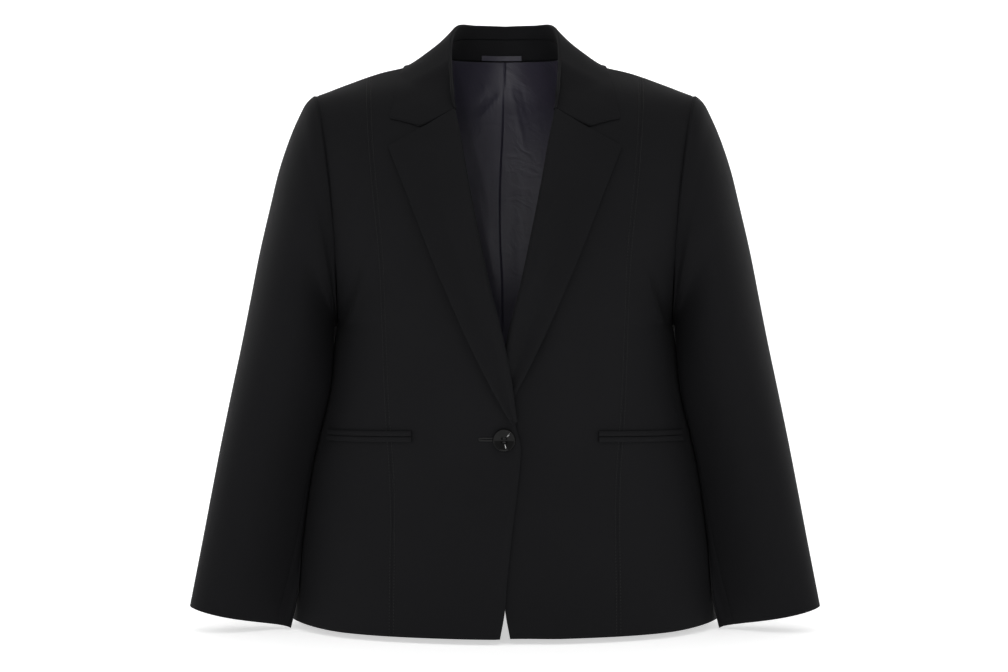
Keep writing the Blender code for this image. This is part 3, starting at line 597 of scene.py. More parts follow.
def mesh_piece(name, at, quads, finish, lay=None):
    """A smooth object from arrays of points and quads, without their unused points. A
    quad with two corners in one place becomes a triangle."""
    used, quads = np.unique(quads, return_inverse=True)
    at = at.reshape(-1, 3)[used]
    quads = face_outwards(at, quads.reshape(-1, 4))
    single = quads != np.roll(quads, -1, axis=1)
    corners, sizes = quads[single], single.sum(axis=1)
    mesh = bpy.data.meshes.new(name)
    mesh.vertices.add(len(at))
    mesh.vertices.foreach_set("co", at.astype(np.float32).ravel())
    mesh.loops.add(len(corners))
    mesh.loops.foreach_set("vertex_index", corners.astype(np.int32))
    mesh.polygons.add(len(quads))
    starts = np.cumsum(sizes) - sizes
    mesh.polygons.foreach_set("loop_start", starts.astype(np.int32))
    mesh.update(calc_edges=True)
    mesh.validate()
    if lay is not None:
        uv = mesh.uv_layers.new(name="cloth")
        uv.data.foreach_set("uv", lay[used][corners].astype(np.float32).ravel())
    mesh.shade_smooth()
    mesh.materials.append(finish)
    return put(name, mesh)


def put(name, data, place=(0, 0, 0), turn=(0, 0, 0)):
    """An object in the scene, at a place and turned."""
    made = bpy.data.objects.new(name, data)
    made.location, made.rotation_euler = place, turn
    bpy.context.scene.collection.objects.link(made)
    return made


def cut_of(grid):
    """A sheet's flat width, length and area."""
    down, over = lengths(grid)
    width, length = float(over[:, -1].max()), float(down[-1].max())
    area = float(np.linalg.norm(face_vectors(grid), axis=-1).sum() / 2)
    return (width, length), min(area, width * length)


def cloth_piece(name, solid, grid, look, held, rests_on, thick, outward):
    """One cut piece of the blazer: its shell with its finish, on the body that carries it, in
    place of the solid that it stands for."""
    finish, slot = look
    piece = shell(name, grid, finish, thick, outward)
    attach(piece, BODY)
    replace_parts(piece, solid)
    flat, area = cut_of(grid)


# ---- materials


class Value:
    """A socket that takes part in sums: each operator adds its Math node."""

    def __init__(self, tree, socket):
        self.tree, self.socket = tree, socket

    def _math(self, kind, other=None):
        node = self.tree.nodes.new("ShaderNodeMath")
        node.operation = kind
        for place, given in enumerate((self, other)):
            if isinstance(given, Value):
                self.tree.links.new(given.socket, node.inputs[place])
            elif given is not None:
                node.inputs[place].default_value = given
        return Value(self.tree, node.outputs[0])

    def __add__(self, other):
        return self._math("ADD", other)

    def __mul__(self, other):
        return self._math("MULTIPLY", other)

    def wave(self):
        return self._math("SINE")

    __radd__, __rmul__ = __add__, __mul__


class Finish:
    """A new Principled material, and the one way to add any other node to it."""

    def __init__(self, name, **fixed):
        self.material = bpy.data.materials.new(name)
        self.material.use_nodes = True
        self.tree = self.material.node_tree
        self.shader = self.tree.nodes["Principled BSDF"]
        for socket, value in fixed.items():
            self.shader.inputs[socket.replace("_", " ")].default_value = value

    def node(self, kind, settings=None, stops=(), out=0, **values):
        """A node of a type: its settings, a ramp's two stops, then its sockets' values."""
        made = self.tree.nodes.new("ShaderNode" + kind)
        for name, value in (settings or {}).items():
            setattr(made, name, value)
        if stops:
            for element, (place, colour) in zip(made.color_ramp.elements, stops):
                element.position, element.color = place, colour
        for name, value in values.items():
            socket = made.inputs[name]
            if isinstance(value, Value):
                self.tree.links.new(value.socket, socket)
            else:
                socket.default_value = value
        return Value(self.tree, made.outputs[out])

    def noise(self, place, scale, detail, **more):
        return self.node("TexNoise", Vector=place, Scale=scale, Detail=detail, **more)

    def feed(self, socket, value):
        self.tree.links.new(value.socket, self.shader.inputs[socket])

    def colour(self, amount, *stops):
        """Base Color on a ramp by an amount, from one stop's colour to the other's."""
        self.feed("Base Color", self.node("ValToRGB", stops=stops, Fac=amount))


def grey(level, blue=0.0):
    return (level, level, level + blue, 1.0)


def suiting():
    """Near-black wool: a fine twill in the cloth's own lengths, a slight slub, and the
    short nap's sheen."""
    look = Finish(
        "black_suiting", Sheen_Weight=0.01, Sheen_Roughness=0.45, Specular_IOR_Level=0.09
    )
    cloth = look.node("UVMap", {"uv_map": "cloth"})
    over = look.node("SeparateXYZ", Vector=cloth)
    down = look.node("SeparateXYZ", out=1, Vector=cloth)
    twill = ((over + down) * (TAU / TWILL_PITCH)).wave()
    ends = (over * (4 * PI / TWILL_PITCH)).wave()
    weave = twill * 0.5 + ends * 0.2
    slub = look.noise(cloth, 420.0, 3.0, Roughness=0.6)
    wear = look.noise(cloth, 9.0, 4.0, Roughness=0.55)
    tone = slub * 0.5 + wear * 0.25 + weave * 0.08 + 0.14
    look.colour(tone, (0.25, grey(0.0048, 0.0006)), (0.75, grey(0.0086, 0.0011)))
    look.feed("Roughness", slub * 0.14 + 0.66)
    bump = look.node("Bump", Height=weave * 0.5 + slub, Strength=0.22, Distance=0.00025)
    look.feed("Normal", bump)
    return look.material


def satin():
    """Dark grey lining satin: fine warp lines, a slight shimmer in its tone."""
    look = Finish(
        "grey_satin", Sheen_Weight=0.04, Sheen_Roughness=0.3, Specular_IOR_Level=0.32
    )
    cloth = look.node("UVMap", {"uv_map": "cloth"})
    over = look.node("SeparateXYZ", Vector=cloth)
    lines = (over * (TAU / WARP_PITCH)).wave()
    stretched = look.node("Mapping", Vector=cloth, Scale=(1.0, 0.05, 1.0))
    streak = look.noise(stretched, 900.0, 2.0)
    cloudy = look.noise(cloth, 22.0, 3.0)
    tone = streak * 0.45 + cloudy * 0.45 + lines * 0.04
    dark, light = (0.025, 0.0232, 0.0345, 1), (0.0362, 0.0336, 0.0495, 1)
    look.colour(tone, (0.25, dark), (0.75, light))
    look.feed("Roughness", streak * 0.12 + 0.36)
    bump = look.node("Bump", Height=lines * 0.3 + streak, Strength=0.12, Distance=0.0002)
    rumple = look.noise(cloth, 48.0, 3.0, Distortion=1.2)
    bump = look.node("Bump", Height=rumple, Strength=0.5, Distance=0.0016, Normal=bump)
    look.feed("Normal", bump)
    return look.material


def mottled(name, scale, detail, dark, light, **fixed):
    """A finish of two greys, mixed by a noise in the object's own metres, with its place
    and noise sockets."""
    look = Finish(name, **fixed)
    place = look.node("TexCoord", out=3)
    mottle = look.noise(place, scale, detail)
    look.colour(mottle, (dark[0], grey(dark[1])), (light[0], grey(light[1])))
    return look, place, mottle


def gloss():
    """Polished black button plastic, very slightly clouded, with fine handling marks."""
    shine = {"Specular_IOR_Level": 0.12, "Coat_Weight": 0.1, "Coat_Roughness": 0.05}
    tones = (0.3, 0.0018), (0.7, 0.0034)
    look, place, _ = mottled("black_gloss", 180.0, 3.0, *tones, **shine)
    look.feed("Roughness", look.noise(place, 1500.0, 2.0) * 0.05 + 0.05)
    return look.material


def thread():
    """Black polyester thread, twisted, with a little shine."""
    tones = (0.3, 0.0068), (0.7, 0.0118)
    look, _, twist = mottled("black_thread", 2600.0, 1.0, *tones, Specular_IOR_Level=0.28)
    look.feed("Roughness", twist * 0.2 + 0.42)
    return look.material


def studio_paper(level):
    """Matt white paper with a barely seen mottle, lit a little from behind."""
    glow = {"Emission_Color": grey(1.0), "Emission_Strength": PAPER_GLOW}
    tones = (0.0, level - 0.01), (1.0, level)
    matt = {"Specular_IOR_Level": 0.1, "Roughness": 0.9}
    return mottled("white_paper", 30.0, 2.0, *tones, **matt, **glow)[0].material


PAPER_GLOW = 0.57  # strength of the light that comes through the paper
TWILL_PITCH, WARP_PITCH = 0.0009, 0.0011
# Each finish with the slot of the pieces that have it.
SUITING, LINING = (suiting(), "black_suiting"), (satin(), "grey_satin")
GLOSS, THREAD = (gloss(), "black_gloss"), (thread(), "black_suiting")


# ---- body panels

# Distances from a stitched edge that get a line of their own.
STITCHED_EDGE = (0.0012, 0.0018, 0.0022, 0.0025, 0.0028, 0.0033, 0.0042)
# Distance from the edge, half width and height of each bell of a seam's relief: a trough
# for a plain seam, and for a stitched one a valley under the stitches and a low ridge.
PLAIN = ((0.0, 0.0016, -0.0003),)
STITCHED = (
    (0.0, 0.0008, -0.00014),
    (STITCH_FROM_SEAM, 0.0007, -STITCH_TROUGH),
    (0.0014, 0.0007, 0.00008),
)
# Rows for bells.
ARMHOLE_FOLDS = (
    (0.145, -0.205, 0.176, -0.296, 0.005, 0.0011),
    (0.153, -0.205, 0.183, -0.29, 0.0062, -0.0036),
)
SKIRT_WAVE = 0.0007  # half its height


def seam_relief(grid, **seams):
    """How far the sheet stands out along its seams, by distance from its low, high, first
    or last edge."""
    far = dict(zip(("low", "high", "first", "last"), edge_distances(grid)))
    height = np.zeros(grid.shape[:-1])
    for edge, bumps in seams.items():
        for at, width, rise in bumps:
            height += rise * hump(far[edge], at, width)
    return height[..., None]


def body_folds(grid):
    """The body's soft folds: the drag folds that start at the front of the armhole's foot
    and run down and inwards, and a faint wave in the skirt."""
    x, y, z = np.moveaxis(grid, -1, 0)
    x = np.abs(x)
    height = bells(x, z, ARMHOLE_FOLDS, (0.0, 0.55), (0.7, 0.98)) * (y < 0.02)
    wave = np.sin(x * 46.0 + 1.3 * np.sin(z * 9.0) + (y > 0) * 2.1)
    return (height + SKIRT_WAVE * ramp(-z, 0.44, 0.6) * wave)[..., None]


def dressed(a, v, back=False, **seams):
    """A panel's plain sheet with its folds and its seams' relief, along its normals."""
    grid = body(a, v, back)
    return grid + body_normal(a, v, back) * (body_folds(grid) + seam_relief(grid, **seams))


def rolled_edge(grid):
    """The top front with its edge below the break turned a little inwards."""
    near = hump(lengths(grid)[1], 0, EDGE_ROLL_WIDTH)
    return grid + points(0, EDGE_ROLL * near * ramp(-grid[..., 2], 0.375, 0.405), 0)


def panel_rows():
    return 2 * shares(0.66)[:, None]


def front_sheet():
    """A front, from its edge to the princess seam."""
    v = panel_rows()
    ends = seam_share(FRONT_EDGE, v), seam_share(PRINCESS, v)
    a = between(ends, shares(0.11, last=STITCHED_EDGE))
    return dressed(a, v, last=STITCHED, high=PLAIN)


def side_front_sheet():
    """A side front, from the princess seam to the side seam and the armhole."""
    v = panel_rows()
    a = between((seam_share(PRINCESS, v), 1), shares(0.11, first=STITCHED_EDGE))
    return dressed(a, v, first=STITCHED, last=PLAIN, high=PLAIN)


def back_sheet():
    """A half of the back, from the centre seam to the side seam and the armhole. A column
    runs through the corner of the neck and shoulder seams."""
    corner = float(share_at(NECK_HALF_WIDTH, np.array(2.0), back=True))
    a = shares(0.24)
    a = np.unique(np.append(a[np.abs(a - corner) > 0.004], corner))
    return dressed(a, panel_rows(), True, first=PLAIN, last=PLAIN, high=PLAIN)


# ---- sleeves

# The angles of each half's two seams, and the sleeve's length, and girth to the radian.
TOP_SLEEVE, UNDER_SLEEVE = (PI / 4, 5 * PI / 3), (-PI / 3, PI / 4)
SLEEVE_LONG, SLEEVE_ROUND = 0.6, 0.065
LAST_STATION = 12
CAP_ROLL = 0.0022  # of the sleeve cap, beside the armhole seam
# station, slant, half width in stations, depth, and the middle and spread of its angle.
SLEEVE_FOLDS = (
    (6.1, 0.5, 0.34, -0.0005, 1.9, 0.6),
    (6.9, 0.6, 0.38, 0.0004, 2.0, 0.6),
    (4.6, -0.4, 0.4, 0.0008, 5.0, 0.6),
    (5.4, -0.5, 0.35, -0.001, 5.0, 0.6),
)


def sleeve_sheet(first, last):
    """A sleeve's cloth between two seams given as angles, from the armhole to the cuff,
    with the cap's roll beside the armhole seam and the soft folds of a hanging arm."""
    station = LAST_STATION * shares(SLEEVE_LONG)[:, None]
    angle = between((first, last), shares(SLEEVE_ROUND * (last - first))[None, :])
    grid = sleeve(angle, station)
    step = UNDERARM_STEP * ramp(np.cos(angle), 0.3, 0.8)
    grid[..., 0] += step * (1 - np.clip(station / 0.5, 0, 1))
    normal = normal_of(sleeve, angle, station, (0, LAST_STATION))
    middle = (section(0.0, station) + section(PI, station))[..., 0] / 2
    outwards = np.sign(((grid - points(middle, -0.02, grid[..., 2])) * normal).sum(-1))
    cap = ramp(-np.cos(angle), -0.5, 0.3)
    roll = CAP_ROLL * cap * ramp(station, 0.0, 0.16) * (1 - ramp(station, 0.3, 1.6))
    relief = (roll + sleeve_folds(angle, station))[..., None]
    relief = relief + seam_relief(grid, low=PLAIN, first=PLAIN, last=PLAIN)
    return grid + normal * outwards[..., None] * relief


def sleeve_folds(angle, station):
    """Soft drag folds round the inside of the elbow: bells across lines that slant round
    the sleeve, of uneven depth."""
    height = 0.0
    for at, slant, width, depth, middle, spread in SLEEVE_FOLDS:
        line = station - at - slant * np.sin(angle - middle)
        turn = np.arctan2(np.sin(angle - middle), np.cos(angle - middle))
        height = height + depth * hump(line, 0, width) * hump(turn, 0, spread)
    return height


# ---- lapels and collar

LAPEL_STAND, LAPEL_EDGE_STAND = 0.003, 0.0052  # off the front, beside roll and at edge
LAPEL_ROWS = (0.02, 0.9999)  # shares of the way from the break to the gorge


def lapel_sheet(under):
    """A lapel: over the roll line in a half circle, then flat on the front to its edge.
    It stands a little off the front beside the roll and at its edge."""
    rise = between(LAPEL_ROWS, shares(0.36, 0.0025))
    v = between((BREAK_V, GORGE_V), rise)
    roll_a = seam_share(FRONT_EDGE, v)
    foot = body(seam_share(FRONT_EDGE, BREAK_V), BREAK_V)
    bow = LAPEL_BOW * rise**0.6 * (1 - rise) ** 1.4
    edge_x = between((foot[0], LAPEL_TIP[0]), rise) + bow
    edge_a, edge_v = locate(edge_x, between((foot[2], LAPEL_TIP[1]), rise))
    across = shares(0.06, 0.0022)[None, 3:]
    a = between((roll_a[:, None], edge_a[:, None]), across)
    row = between((v[:, None], edge_v[:, None]), across)
    sheet, out = body(a, row), body_normal(a, row)
    if under:
        sheet = under_lap(sheet)
    swell = np.sin(PI * rise)
    beside_roll = LAPEL_STAND * hump(across, 0.16, 0.2) * (swell**0.7)[:, None]
    at_edge = LAPEL_EDGE_STAND * ramp(across, 0.5, 1.0) * (swell**0.6 * (1.5 - rise))[:, None]
    flat = sheet + (LAY + beside_roll + at_edge)[..., None] * out
    tangent = unit(sheet[:, 6:7] - sheet[:, :1])
    turn = np.linspace(0, PI, 15)[None, :-1, None]
    ahead = LAY / 2 * np.sin(turn) + ROLL_CLEAR
    roll = sheet[:, :1] - ahead * tangent + LAY / 2 * (1 - np.cos(turn)) * out[:, :1]
    return np.concatenate([roll, flat], axis=1)


def settled(grid, near, column):
    """The collar's fall pressed flat on the front next to the gorge, at the lapel's own
    height."""
    fall = np.broadcast_to(column > 2, grid.shape[:2])
    x, y, z = np.moveaxis(grid, -1, 0)
    ahead = fall & (y < -0.04) & (near > 0.64)
    a, v = locate(np.abs(x[ahead]), z[ahead])
    flat = (body(a, v) + (LAY - GORGE_STEP) * body_normal(a, v))[:, 1]
    share = np.broadcast_to(ramp(near, 0.7, 0.9), fall.shape)[ahead]
    grid = grid.copy()
    grid[ahead, 1] += (flat - y[ahead]) * share
    over_shoulder = ramp(near, 0.25, 0.45) * (1 - ramp(near, 0.7, 0.85))
    grid[..., 2] -= FALL_EDGE_DROP * ramp(column, 2.5, 2.9) * over_shoulder
    return grid


def collar_sheets():
    """The collar over its fold, and its stand below the seam between the two."""
    share = np.linspace(-0.9999, 0.9999, 241)[:, None]
    climb = STAND_SHARE * np.sqrt(np.clip(1 - (share / STAND_REACH) ** 2, 0, 1))
    inside = between((climb, 1), np.linspace(0, 1, 12))
    rest = np.append(np.linspace(1, 2, 15)[1:], 2 + shares(0.05, 0.0022)[1:])
    column = np.concatenate([inside, rest + 0 * share], axis=1)
    collar = settled(collar_sheet(share + 0 * column, column), np.abs(share), column)
    kept = np.abs(share[:, 0]) < STAND_END
    low = climb[kept] * shares(0.022, 0.002)
    return collar, collar_sheet(share[kept] + 0 * low, low)


# ---- pockets and lining

JET_CROWN = 0.0005  # of a welt's middle, above its edges


def welt_sheet(upper):
    """A padded welt above or below the slit: a narrow sheet with full round edges."""
    ends = shares(0.094, 0.002)
    x = between(POCKET_X, ends)
    _, v = locate(x, between(POCKET_Z, ends))
    across = shares(JET_HEIGHT, 0.0006)[:, None]
    low = SLIT / 2 if upper else -SLIT / 2 - JET_HEIGHT
    rows = v + (low + JET_HEIGHT * across) / (UNDERARM_Z - HEM_Z)
    columns = share_at(np.broadcast_to(x, rows.shape), rows)
    lift = CLOTH / 2 + JET_THICK / 2 + JET_CROWN * np.sin(PI * across)[..., None]
    return body(columns, rows) + lift * body_normal(columns, rows)


# Rows for bells.
LINING_CREASES = (
    (-0.003, -0.008, -0.034, -0.039, 0.0014, 0.0009),
    (-0.01, -0.005, -0.04, -0.03, 0.005, -0.0007),
    (0.006, 0.002, 0.025, -0.075, 0.0035, 0.0005),
    (0.018, 0.0, 0.033, -0.05, 0.003, -0.0004),
    (-0.02, -0.06, -0.015, -0.23, 0.006, 0.0005),
    (0.018, -0.09, 0.015, -0.26, 0.006, -0.0004),
    (0.052, 0.015, 0.06, 0.003, 0.002, 0.0007),
    (0.04, 0.012, 0.048, -0.012, 0.0022, -0.0004),
    (0.028, 0.008, 0.04, -0.022, 0.0022, 0.0004),
)
PLEAT_HEAD, PLEAT_STEP, PLEAT_LIP = 0.001, 0.0016, 0.0022  # heights off the lining
LINING_SIDE = 0.93  # the share a where the lining ends
LINING_FINE = 0.11  # the share a up to which its columns are close together
LOOP_BOW, LOOP_CLEAR = 0.0016, 0.0004  # off the stand, at its middle and its ends


def lining_sheet():
    """The back lining just inside the back, free below the neck seam: a folded pleat down
    its middle that opens downwards, one strong slanting crease from its head, and a few
    faint ones."""
    a = LINING_SIDE * (2 * shares(0.4, 0.0036) - 1)
    fine = np.linspace(-LINING_FINE, LINING_FINE, 76)
    a = np.unique(np.round(np.append(a[np.abs(a) > LINING_FINE], fine), 6))
    v = between((1 / ROWS_BELOW, LINING_TOP), shares(0.62, 0.0042))
    a, v = np.meshgrid(a, v)
    near = np.abs(a)
    free = ramp(2 - v, 0.0, 0.15)
    inset_by = LINING_INSET - LINING_SEWN * (1 - free) + LINING_FREE * free
    sheet = body(near, v, back=True) - body_normal(near, v, back=True) * inset_by[..., None]
    sheet = handed(sheet, a)
    x, z = sheet[..., 0], sheet[..., 2]
    head = PLEAT_HEAD * hump(x, 0.0, 0.0009) * ramp(z, -0.004, 0.008)
    line = -0.001 - 0.004 * ramp(-z, 0.02, 0.13) + 0.003 * ramp(-z, 0.16, 0.24)
    side = x - line
    step = PLEAT_STEP * np.tanh(side / 0.0007) * np.exp(-np.abs(side) / 0.02)
    lip = PLEAT_LIP * hump(side, -0.0006, 0.0009)
    pleat = ramp(-z, -0.005, 0.045) * (step + lip)
    creases = bells(x, z, LINING_CREASES, (-0.1, 0.15), (0.65, 1.15))
    rise = LINING_RISE * ramp(v, 1.85, LINING_TOP)
    return sheet + points(0, head + pleat + creases, rise)


def loop_sheet():
    """The hanger loop along the inside of the stand, just above the neck seam, bowed a
    little away from it between its sewn ends."""
    known = np.linspace(0, 0.45, 60)
    known_x = np.abs(collar_sheet(known, 0 * known)[:, 0])
    across = shares(LOOP_X[1] - LOOP_X[0], 0.0014)
    x = between(LOOP_X, across)
    share = (np.sign(x) * np.interp(np.abs(x), known_x, known))[None, :]
    foot, top = (collar_sheet(np.zeros(1), np.array([k])) for k in (0.0, 1.0))
    tall = LOOP_HEIGHT / np.linalg.norm(foot - top)
    column = (0.05 + 0.95 * shares(LOOP_HEIGHT, 0.0007))[:, None] * tall
    grid = collar_sheet(share + 0 * column, column + 0 * share)
    inward = grid_normals(grid)
    inward = inward * -np.sign(inward[..., 1:2])
    bow = LOOP_BOW * np.sin(PI * across) ** 0.5
    lift = CLOTH / 2 + LOOP_CLEAR + SATIN / 2 + bow
    return grid + lift[None, :, None] * inward


# ---- cloth pieces


def cloth_pieces():
    """Rows of name, solid, sheets at +X for the left and the right or one whole sheet,
    look, how it is held, what it rests on, wall and facing. * stands for the hand."""
    front, side, back = front_sheet(), side_front_sheet(), back_sheet()
    top, under = sleeve_sheet(*TOP_SLEEVE), sleeve_sheet(*UNDER_SLEEVE)
    upper, lower = welt_sheet(True), welt_sheet(False)
    lapels = lapel_sheet(True), lapel_sheet(False)
    collar, stand = collar_sheets()
    hung, folded = (SUITING, "hung"), (SUITING, "folded")
    ahead, behind, any_way = (CLOTH, FORWARD), (CLOTH, BACKWARD), (CLOTH, None)
    backs, sides = ["back_left", "back_right"], ["side_front_*", "back_*"]
    jet = (["front_*", "side_front_*"], JET_THICK, FORWARD)
    laps = under_lap(front), rolled_edge(front)
    return (
        ("front_cloth_*", "front_*", laps, *hung, ["back_*"], *ahead),
        ("side_front_cloth_*", "side_front_*", (side, side), *hung, ["back_*"], *ahead),
        ("back_cloth_*", "back_*", (back, back), *hung, ["collar_stand"], *behind),
        ("sleeve_top_cloth_*", "sleeve_top_*", (top, top), *hung, sides, *any_way),
        ("sleeve_under_cloth_*", "sleeve_under_*", (under, under), *hung, sides, *any_way),
        ("lapel_cloth_*", "lapel_*", lapels, *folded, ["front_*"], *ahead),
        ("collar_cloth", "collar", collar, *folded, ["collar_stand", *backs], *any_way),
        ("collar_stand_cloth", "collar_stand", stand, *folded, backs, *any_way),
        ("pocket_welt_upper_*", "pocket_jet_upper_*", (upper, upper), *folded, *jet),
        ("pocket_welt_lower_*", "pocket_jet_lower_*", (lower, lower), *folded, *jet),
        ("lining_satin", "lining_back", lining_sheet(), LINING, "hung", backs, SATIN, None),
        ("loop_satin", "hanger_loop", loop_sheet(), LINING, "hung", ["collar_stand"], SATIN, None),
    )


def make_cloth():
    for name, solid, sheets, look, held, rests_on, *more in cloth_pieces():
        hands = ("left", "right") if "*" in name else (None,)
        sheets = sheets if "*" in name else (sheets,)
        for hand, sheet, flip in zip(hands, sheets, (LEFT, RIGHT)):
            words = (word.replace("*", str(hand)) for word in (name, solid, *rests_on))
            own, stands_for, *below = words
            cloth_piece(own, stands_for, sheet * flip, look, held, below, *more)


# ---- button

BUTTON_PROFILE = table(
    "radius top",  # shares of the button's radius and thickness
    (0.0, 0.44),
    (0.12, 0.44),
    (0.3, 0.5),
    (0.5, 0.63),
    (0.7, 0.77),
    (0.82, 0.86),
    (0.88, 0.98),
    (0.92, 1.0),
    (0.96, 0.9),
    (1.0, 0.62),
)
BUTTON_UNDERSIDE = table(
    "radius top",
    (0.985, 0.36),
    (0.93, 0.12),
    (0.82, 0.0),
    (0.45, 0.0),
    (0.0, 0.0),
)
BUTTON_WELL = 0.42  # depth of a thread hole, as a share of the thickness
BUTTON_DISH = 0.48  # height of the thread's seat, as a share of the thickness
BUTTON_GAP = 0.0003  # between the button's underside and the cloth


def button_seat():
    """How far forward the button's underside lies."""
    front_y = body(share_at(0.0, np.array(BUTTON_V)), BUTTON_V)[..., 1]
    return float(front_y) - CLOTH / 2 - BUTTON_GAP


def make_button():
    """A turned button: the top's height by radius from its profile, wells for the four
    thread holes, then the rim round to a flat underside."""
    radius = np.linspace(0.0, 1.0, 76)[:, None] * BUTTON_RADIUS
    turn = np.linspace(0, TAU, 121)[None, :-1]
    height = along(BUTTON_PROFILE, "top", radius / BUTTON_RADIUS) + 0 * turn
    for corner in range(4):
        around = PI / 4 + corner * PI / 2
        off = np.hypot(
            radius * np.cos(turn) - BUTTON_HOLE_REACH * math.cos(around),
            radius * np.sin(turn) - BUTTON_HOLE_REACH * math.sin(around),
        )
        reach = ramp(off, BUTTON_HOLE_RADIUS * 0.8, BUTTON_HOLE_RADIUS * 1.15)
        height = height - BUTTON_WELL * (1 - reach)
    under = {name: column[:, None] for name, column in BUTTON_UNDERSIDE.items()}
    radius = np.concatenate([radius, under["radius"] * BUTTON_RADIUS])
    height = np.concatenate([height, under["top"] + 0 * turn]) * BUTTON_THICK
    x, z = BUTTON_X + radius * np.cos(turn), BUTTON_Z + radius * np.sin(turn)
    at = points(x, button_seat() - height, z)
    index = np.arange(height.size).reshape(height.shape)
    index[0], index[-1] = index[0, 0], index[-1, 0]
    quads = quads_of(np.concatenate([index, index[:, :1]], axis=1))
    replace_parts(trim_piece("button_gloss", at, quads, GLOSS), "button")


# ---- sewing

BUTTONHOLE_X = (0.001, 0.027)  # of its ends, mirrored onto the right front
BUTTONHOLE_RISE = 0.0009  # above the button's middle
BEAD_OFFSET, BEAD_RADIUS, BEAD_STITCH = 0.0013, 0.0009, 0.00055
STRAND_RADIUS, STRAND_DIP, STRAND_BOW = 0.00026, 0.0009, 0.0014
ROW_CLEAR = 0.002  # of the hem and the shoulder seam, to a row's ends

def swept(path, up, radius, sides=6, looped=False):
    """Points and quads of round cords. The path is an array of cord, place and xyz, up
    points away from the cloth at each place, and a cord is looped or has flat ends."""
    step = np.roll(path, -1, 1) - np.roll(path, 1, 1) if looped else np.gradient(path, axis=1)
    side = unit(np.cross(step, up))
    turn = np.linspace(0, TAU, sides + 1)[:-1, None]
    ring = np.cos(turn) * up[:, :, None] + np.sin(turn) * side[:, :, None]
    at = path[:, :, None] + radius[..., None, None] * ring
    index = np.arange(at.size // 3).reshape(at.shape[:3])
    here, ahead = (index, np.roll(index, -1, 1)) if looped else (index[:, :-1], index[:, 1:])
    corners = here, np.roll(here, -1, 2), np.roll(ahead, -1, 2), ahead
    quads = np.stack(corners, axis=-1).reshape(-1, 4)
    if not looped:
        caps = [index[:, 0, [3, 2, 1, 0]], index[:, 0, [5, 4, 3, 0]]]
        caps += [index[:, -1, [0, 1, 2, 3]], index[:, -1, [0, 3, 4, 5]]]
        quads = np.concatenate([quads, *caps])
    return at, quads


def stitches_along(line, out):
    """Paths and up directions of running stitches on a dense line: each one's ends dip
    into the cloth."""
    far = run_of(line)
    last = far[-1] - ROW_CLEAR - STITCH_LENGTH
    starts = np.arange(ROW_CLEAR, last, STITCH_PITCH)[:, None]
    along_it = np.linspace(0, 1, 5)
    place = starts + STITCH_LENGTH * along_it
    at = np.stack([np.interp(place, far, line[:, k]) for k in range(3)], axis=-1)
    up = unit(np.stack([np.interp(place, far, out[:, k]) for k in range(3)], axis=-1))
    rise = STITCH_RADIUS * (1.8 * np.sin(PI * along_it) ** 0.6 - 1.0)
    return at + up * rise[:, None], up


def trim_piece(name, at, quads, look):
    """A piece on the blazer's one body, with its finish."""
    piece = mesh_piece(name, at, quads, look[0])
    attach(piece, BODY)
    return piece


def cord_piece(name, path, up, radius, flip=LEFT, **more):
    """Thread cords as one trim piece, mirrored by flip."""
    at, quads = swept(path, up, radius, **more)
    trim_piece(name, at * flip, quads, THREAD)


def make_topstitching():
    """A row of stitches on each side of both princess seams, from the hem upwards."""
    v = np.linspace(0.004, 1.996, 1500)
    seam, near = seam_share(PRINCESS, v), 1e-3
    pace = np.linalg.norm(body(seam + near, v) - body(seam - near, v), axis=1) / (2 * near)
    found = []
    for side in (-1, 1):
        a = seam + side * STITCH_FROM_SEAM / pace
        line, out = body(a, v), body_normal(a, v)
        line = line + out * (body_folds(line) + CLOTH / 2 - STITCH_TROUGH)
        found.append(stitches_along(line, out))
    path, up = (np.concatenate(parts) for parts in zip(*found))
    radius = STITCH_RADIUS * np.array([0.5, 1.0, 1.0, 1.0, 0.5])
    for hand, flip in (("left", LEFT), ("right", RIGHT)):
        cord_piece(f"princess_stitches_{hand}", path, up, radius, flip)


def make_buttonhole():
    """The worked edge of the buttonhole on the right front: a bead of close stitches
    round the slit, which runs from under the button towards the side."""
    half, middle = (BUTTONHOLE_X[1] - BUTTONHOLE_X[0]) / 2, between(BUTTONHOLE_X, 0.5)
    turn = np.linspace(0, TAU, 561)[:-1]
    ends = (half - BEAD_OFFSET) * np.clip(1.25 * np.cos(turn), -1, 1)
    x = middle + ends + BEAD_OFFSET * np.cos(turn)
    tall = np.sign(np.sin(turn)) * np.abs(np.sin(turn)) ** 0.5
    a, v = locate(x, BUTTON_Z + BUTTONHOLE_RISE + BEAD_OFFSET * tall)
    out = body_normal(a, v)
    path = body(a, v) + out * (CLOTH / 2 + 0.15 * BEAD_RADIUS)
    ridges = 1 + 0.1 * np.sin(run_of(path) * (TAU / BEAD_STITCH))
    bead = path[None], out[None], BEAD_RADIUS * ridges[None]
    cord_piece("buttonhole_bead", *bead, RIGHT, sides=10, looped=True)


def make_button_thread():
    """The thread that holds the button: strands side by side between each pair of holes,
    bowed over the dish."""
    arch = np.linspace(0, 1, 9)
    reach = BUTTON_HOLE_REACH * math.sqrt(0.5)
    seat = button_seat() - BUTTON_DISH * BUTTON_THICK
    x = BUTTON_X + reach * (2 * arch - 1)
    y = seat + STRAND_DIP - STRAND_BOW * np.sin(PI * arch) ** 0.45
    beside = 1.3 * STRAND_RADIUS * np.array([-1.5, -0.5, 0.5, 1.5])
    heights = np.concatenate([beside - reach, beside + reach]) + BUTTON_Z
    path = np.stack([points(x, y, z) for z in heights])
    up = np.broadcast_to(FORWARD, path.shape)
    cord_piece("button_strands", path, up, STRAND_RADIUS * np.ones(len(arch)))


# ---- studio

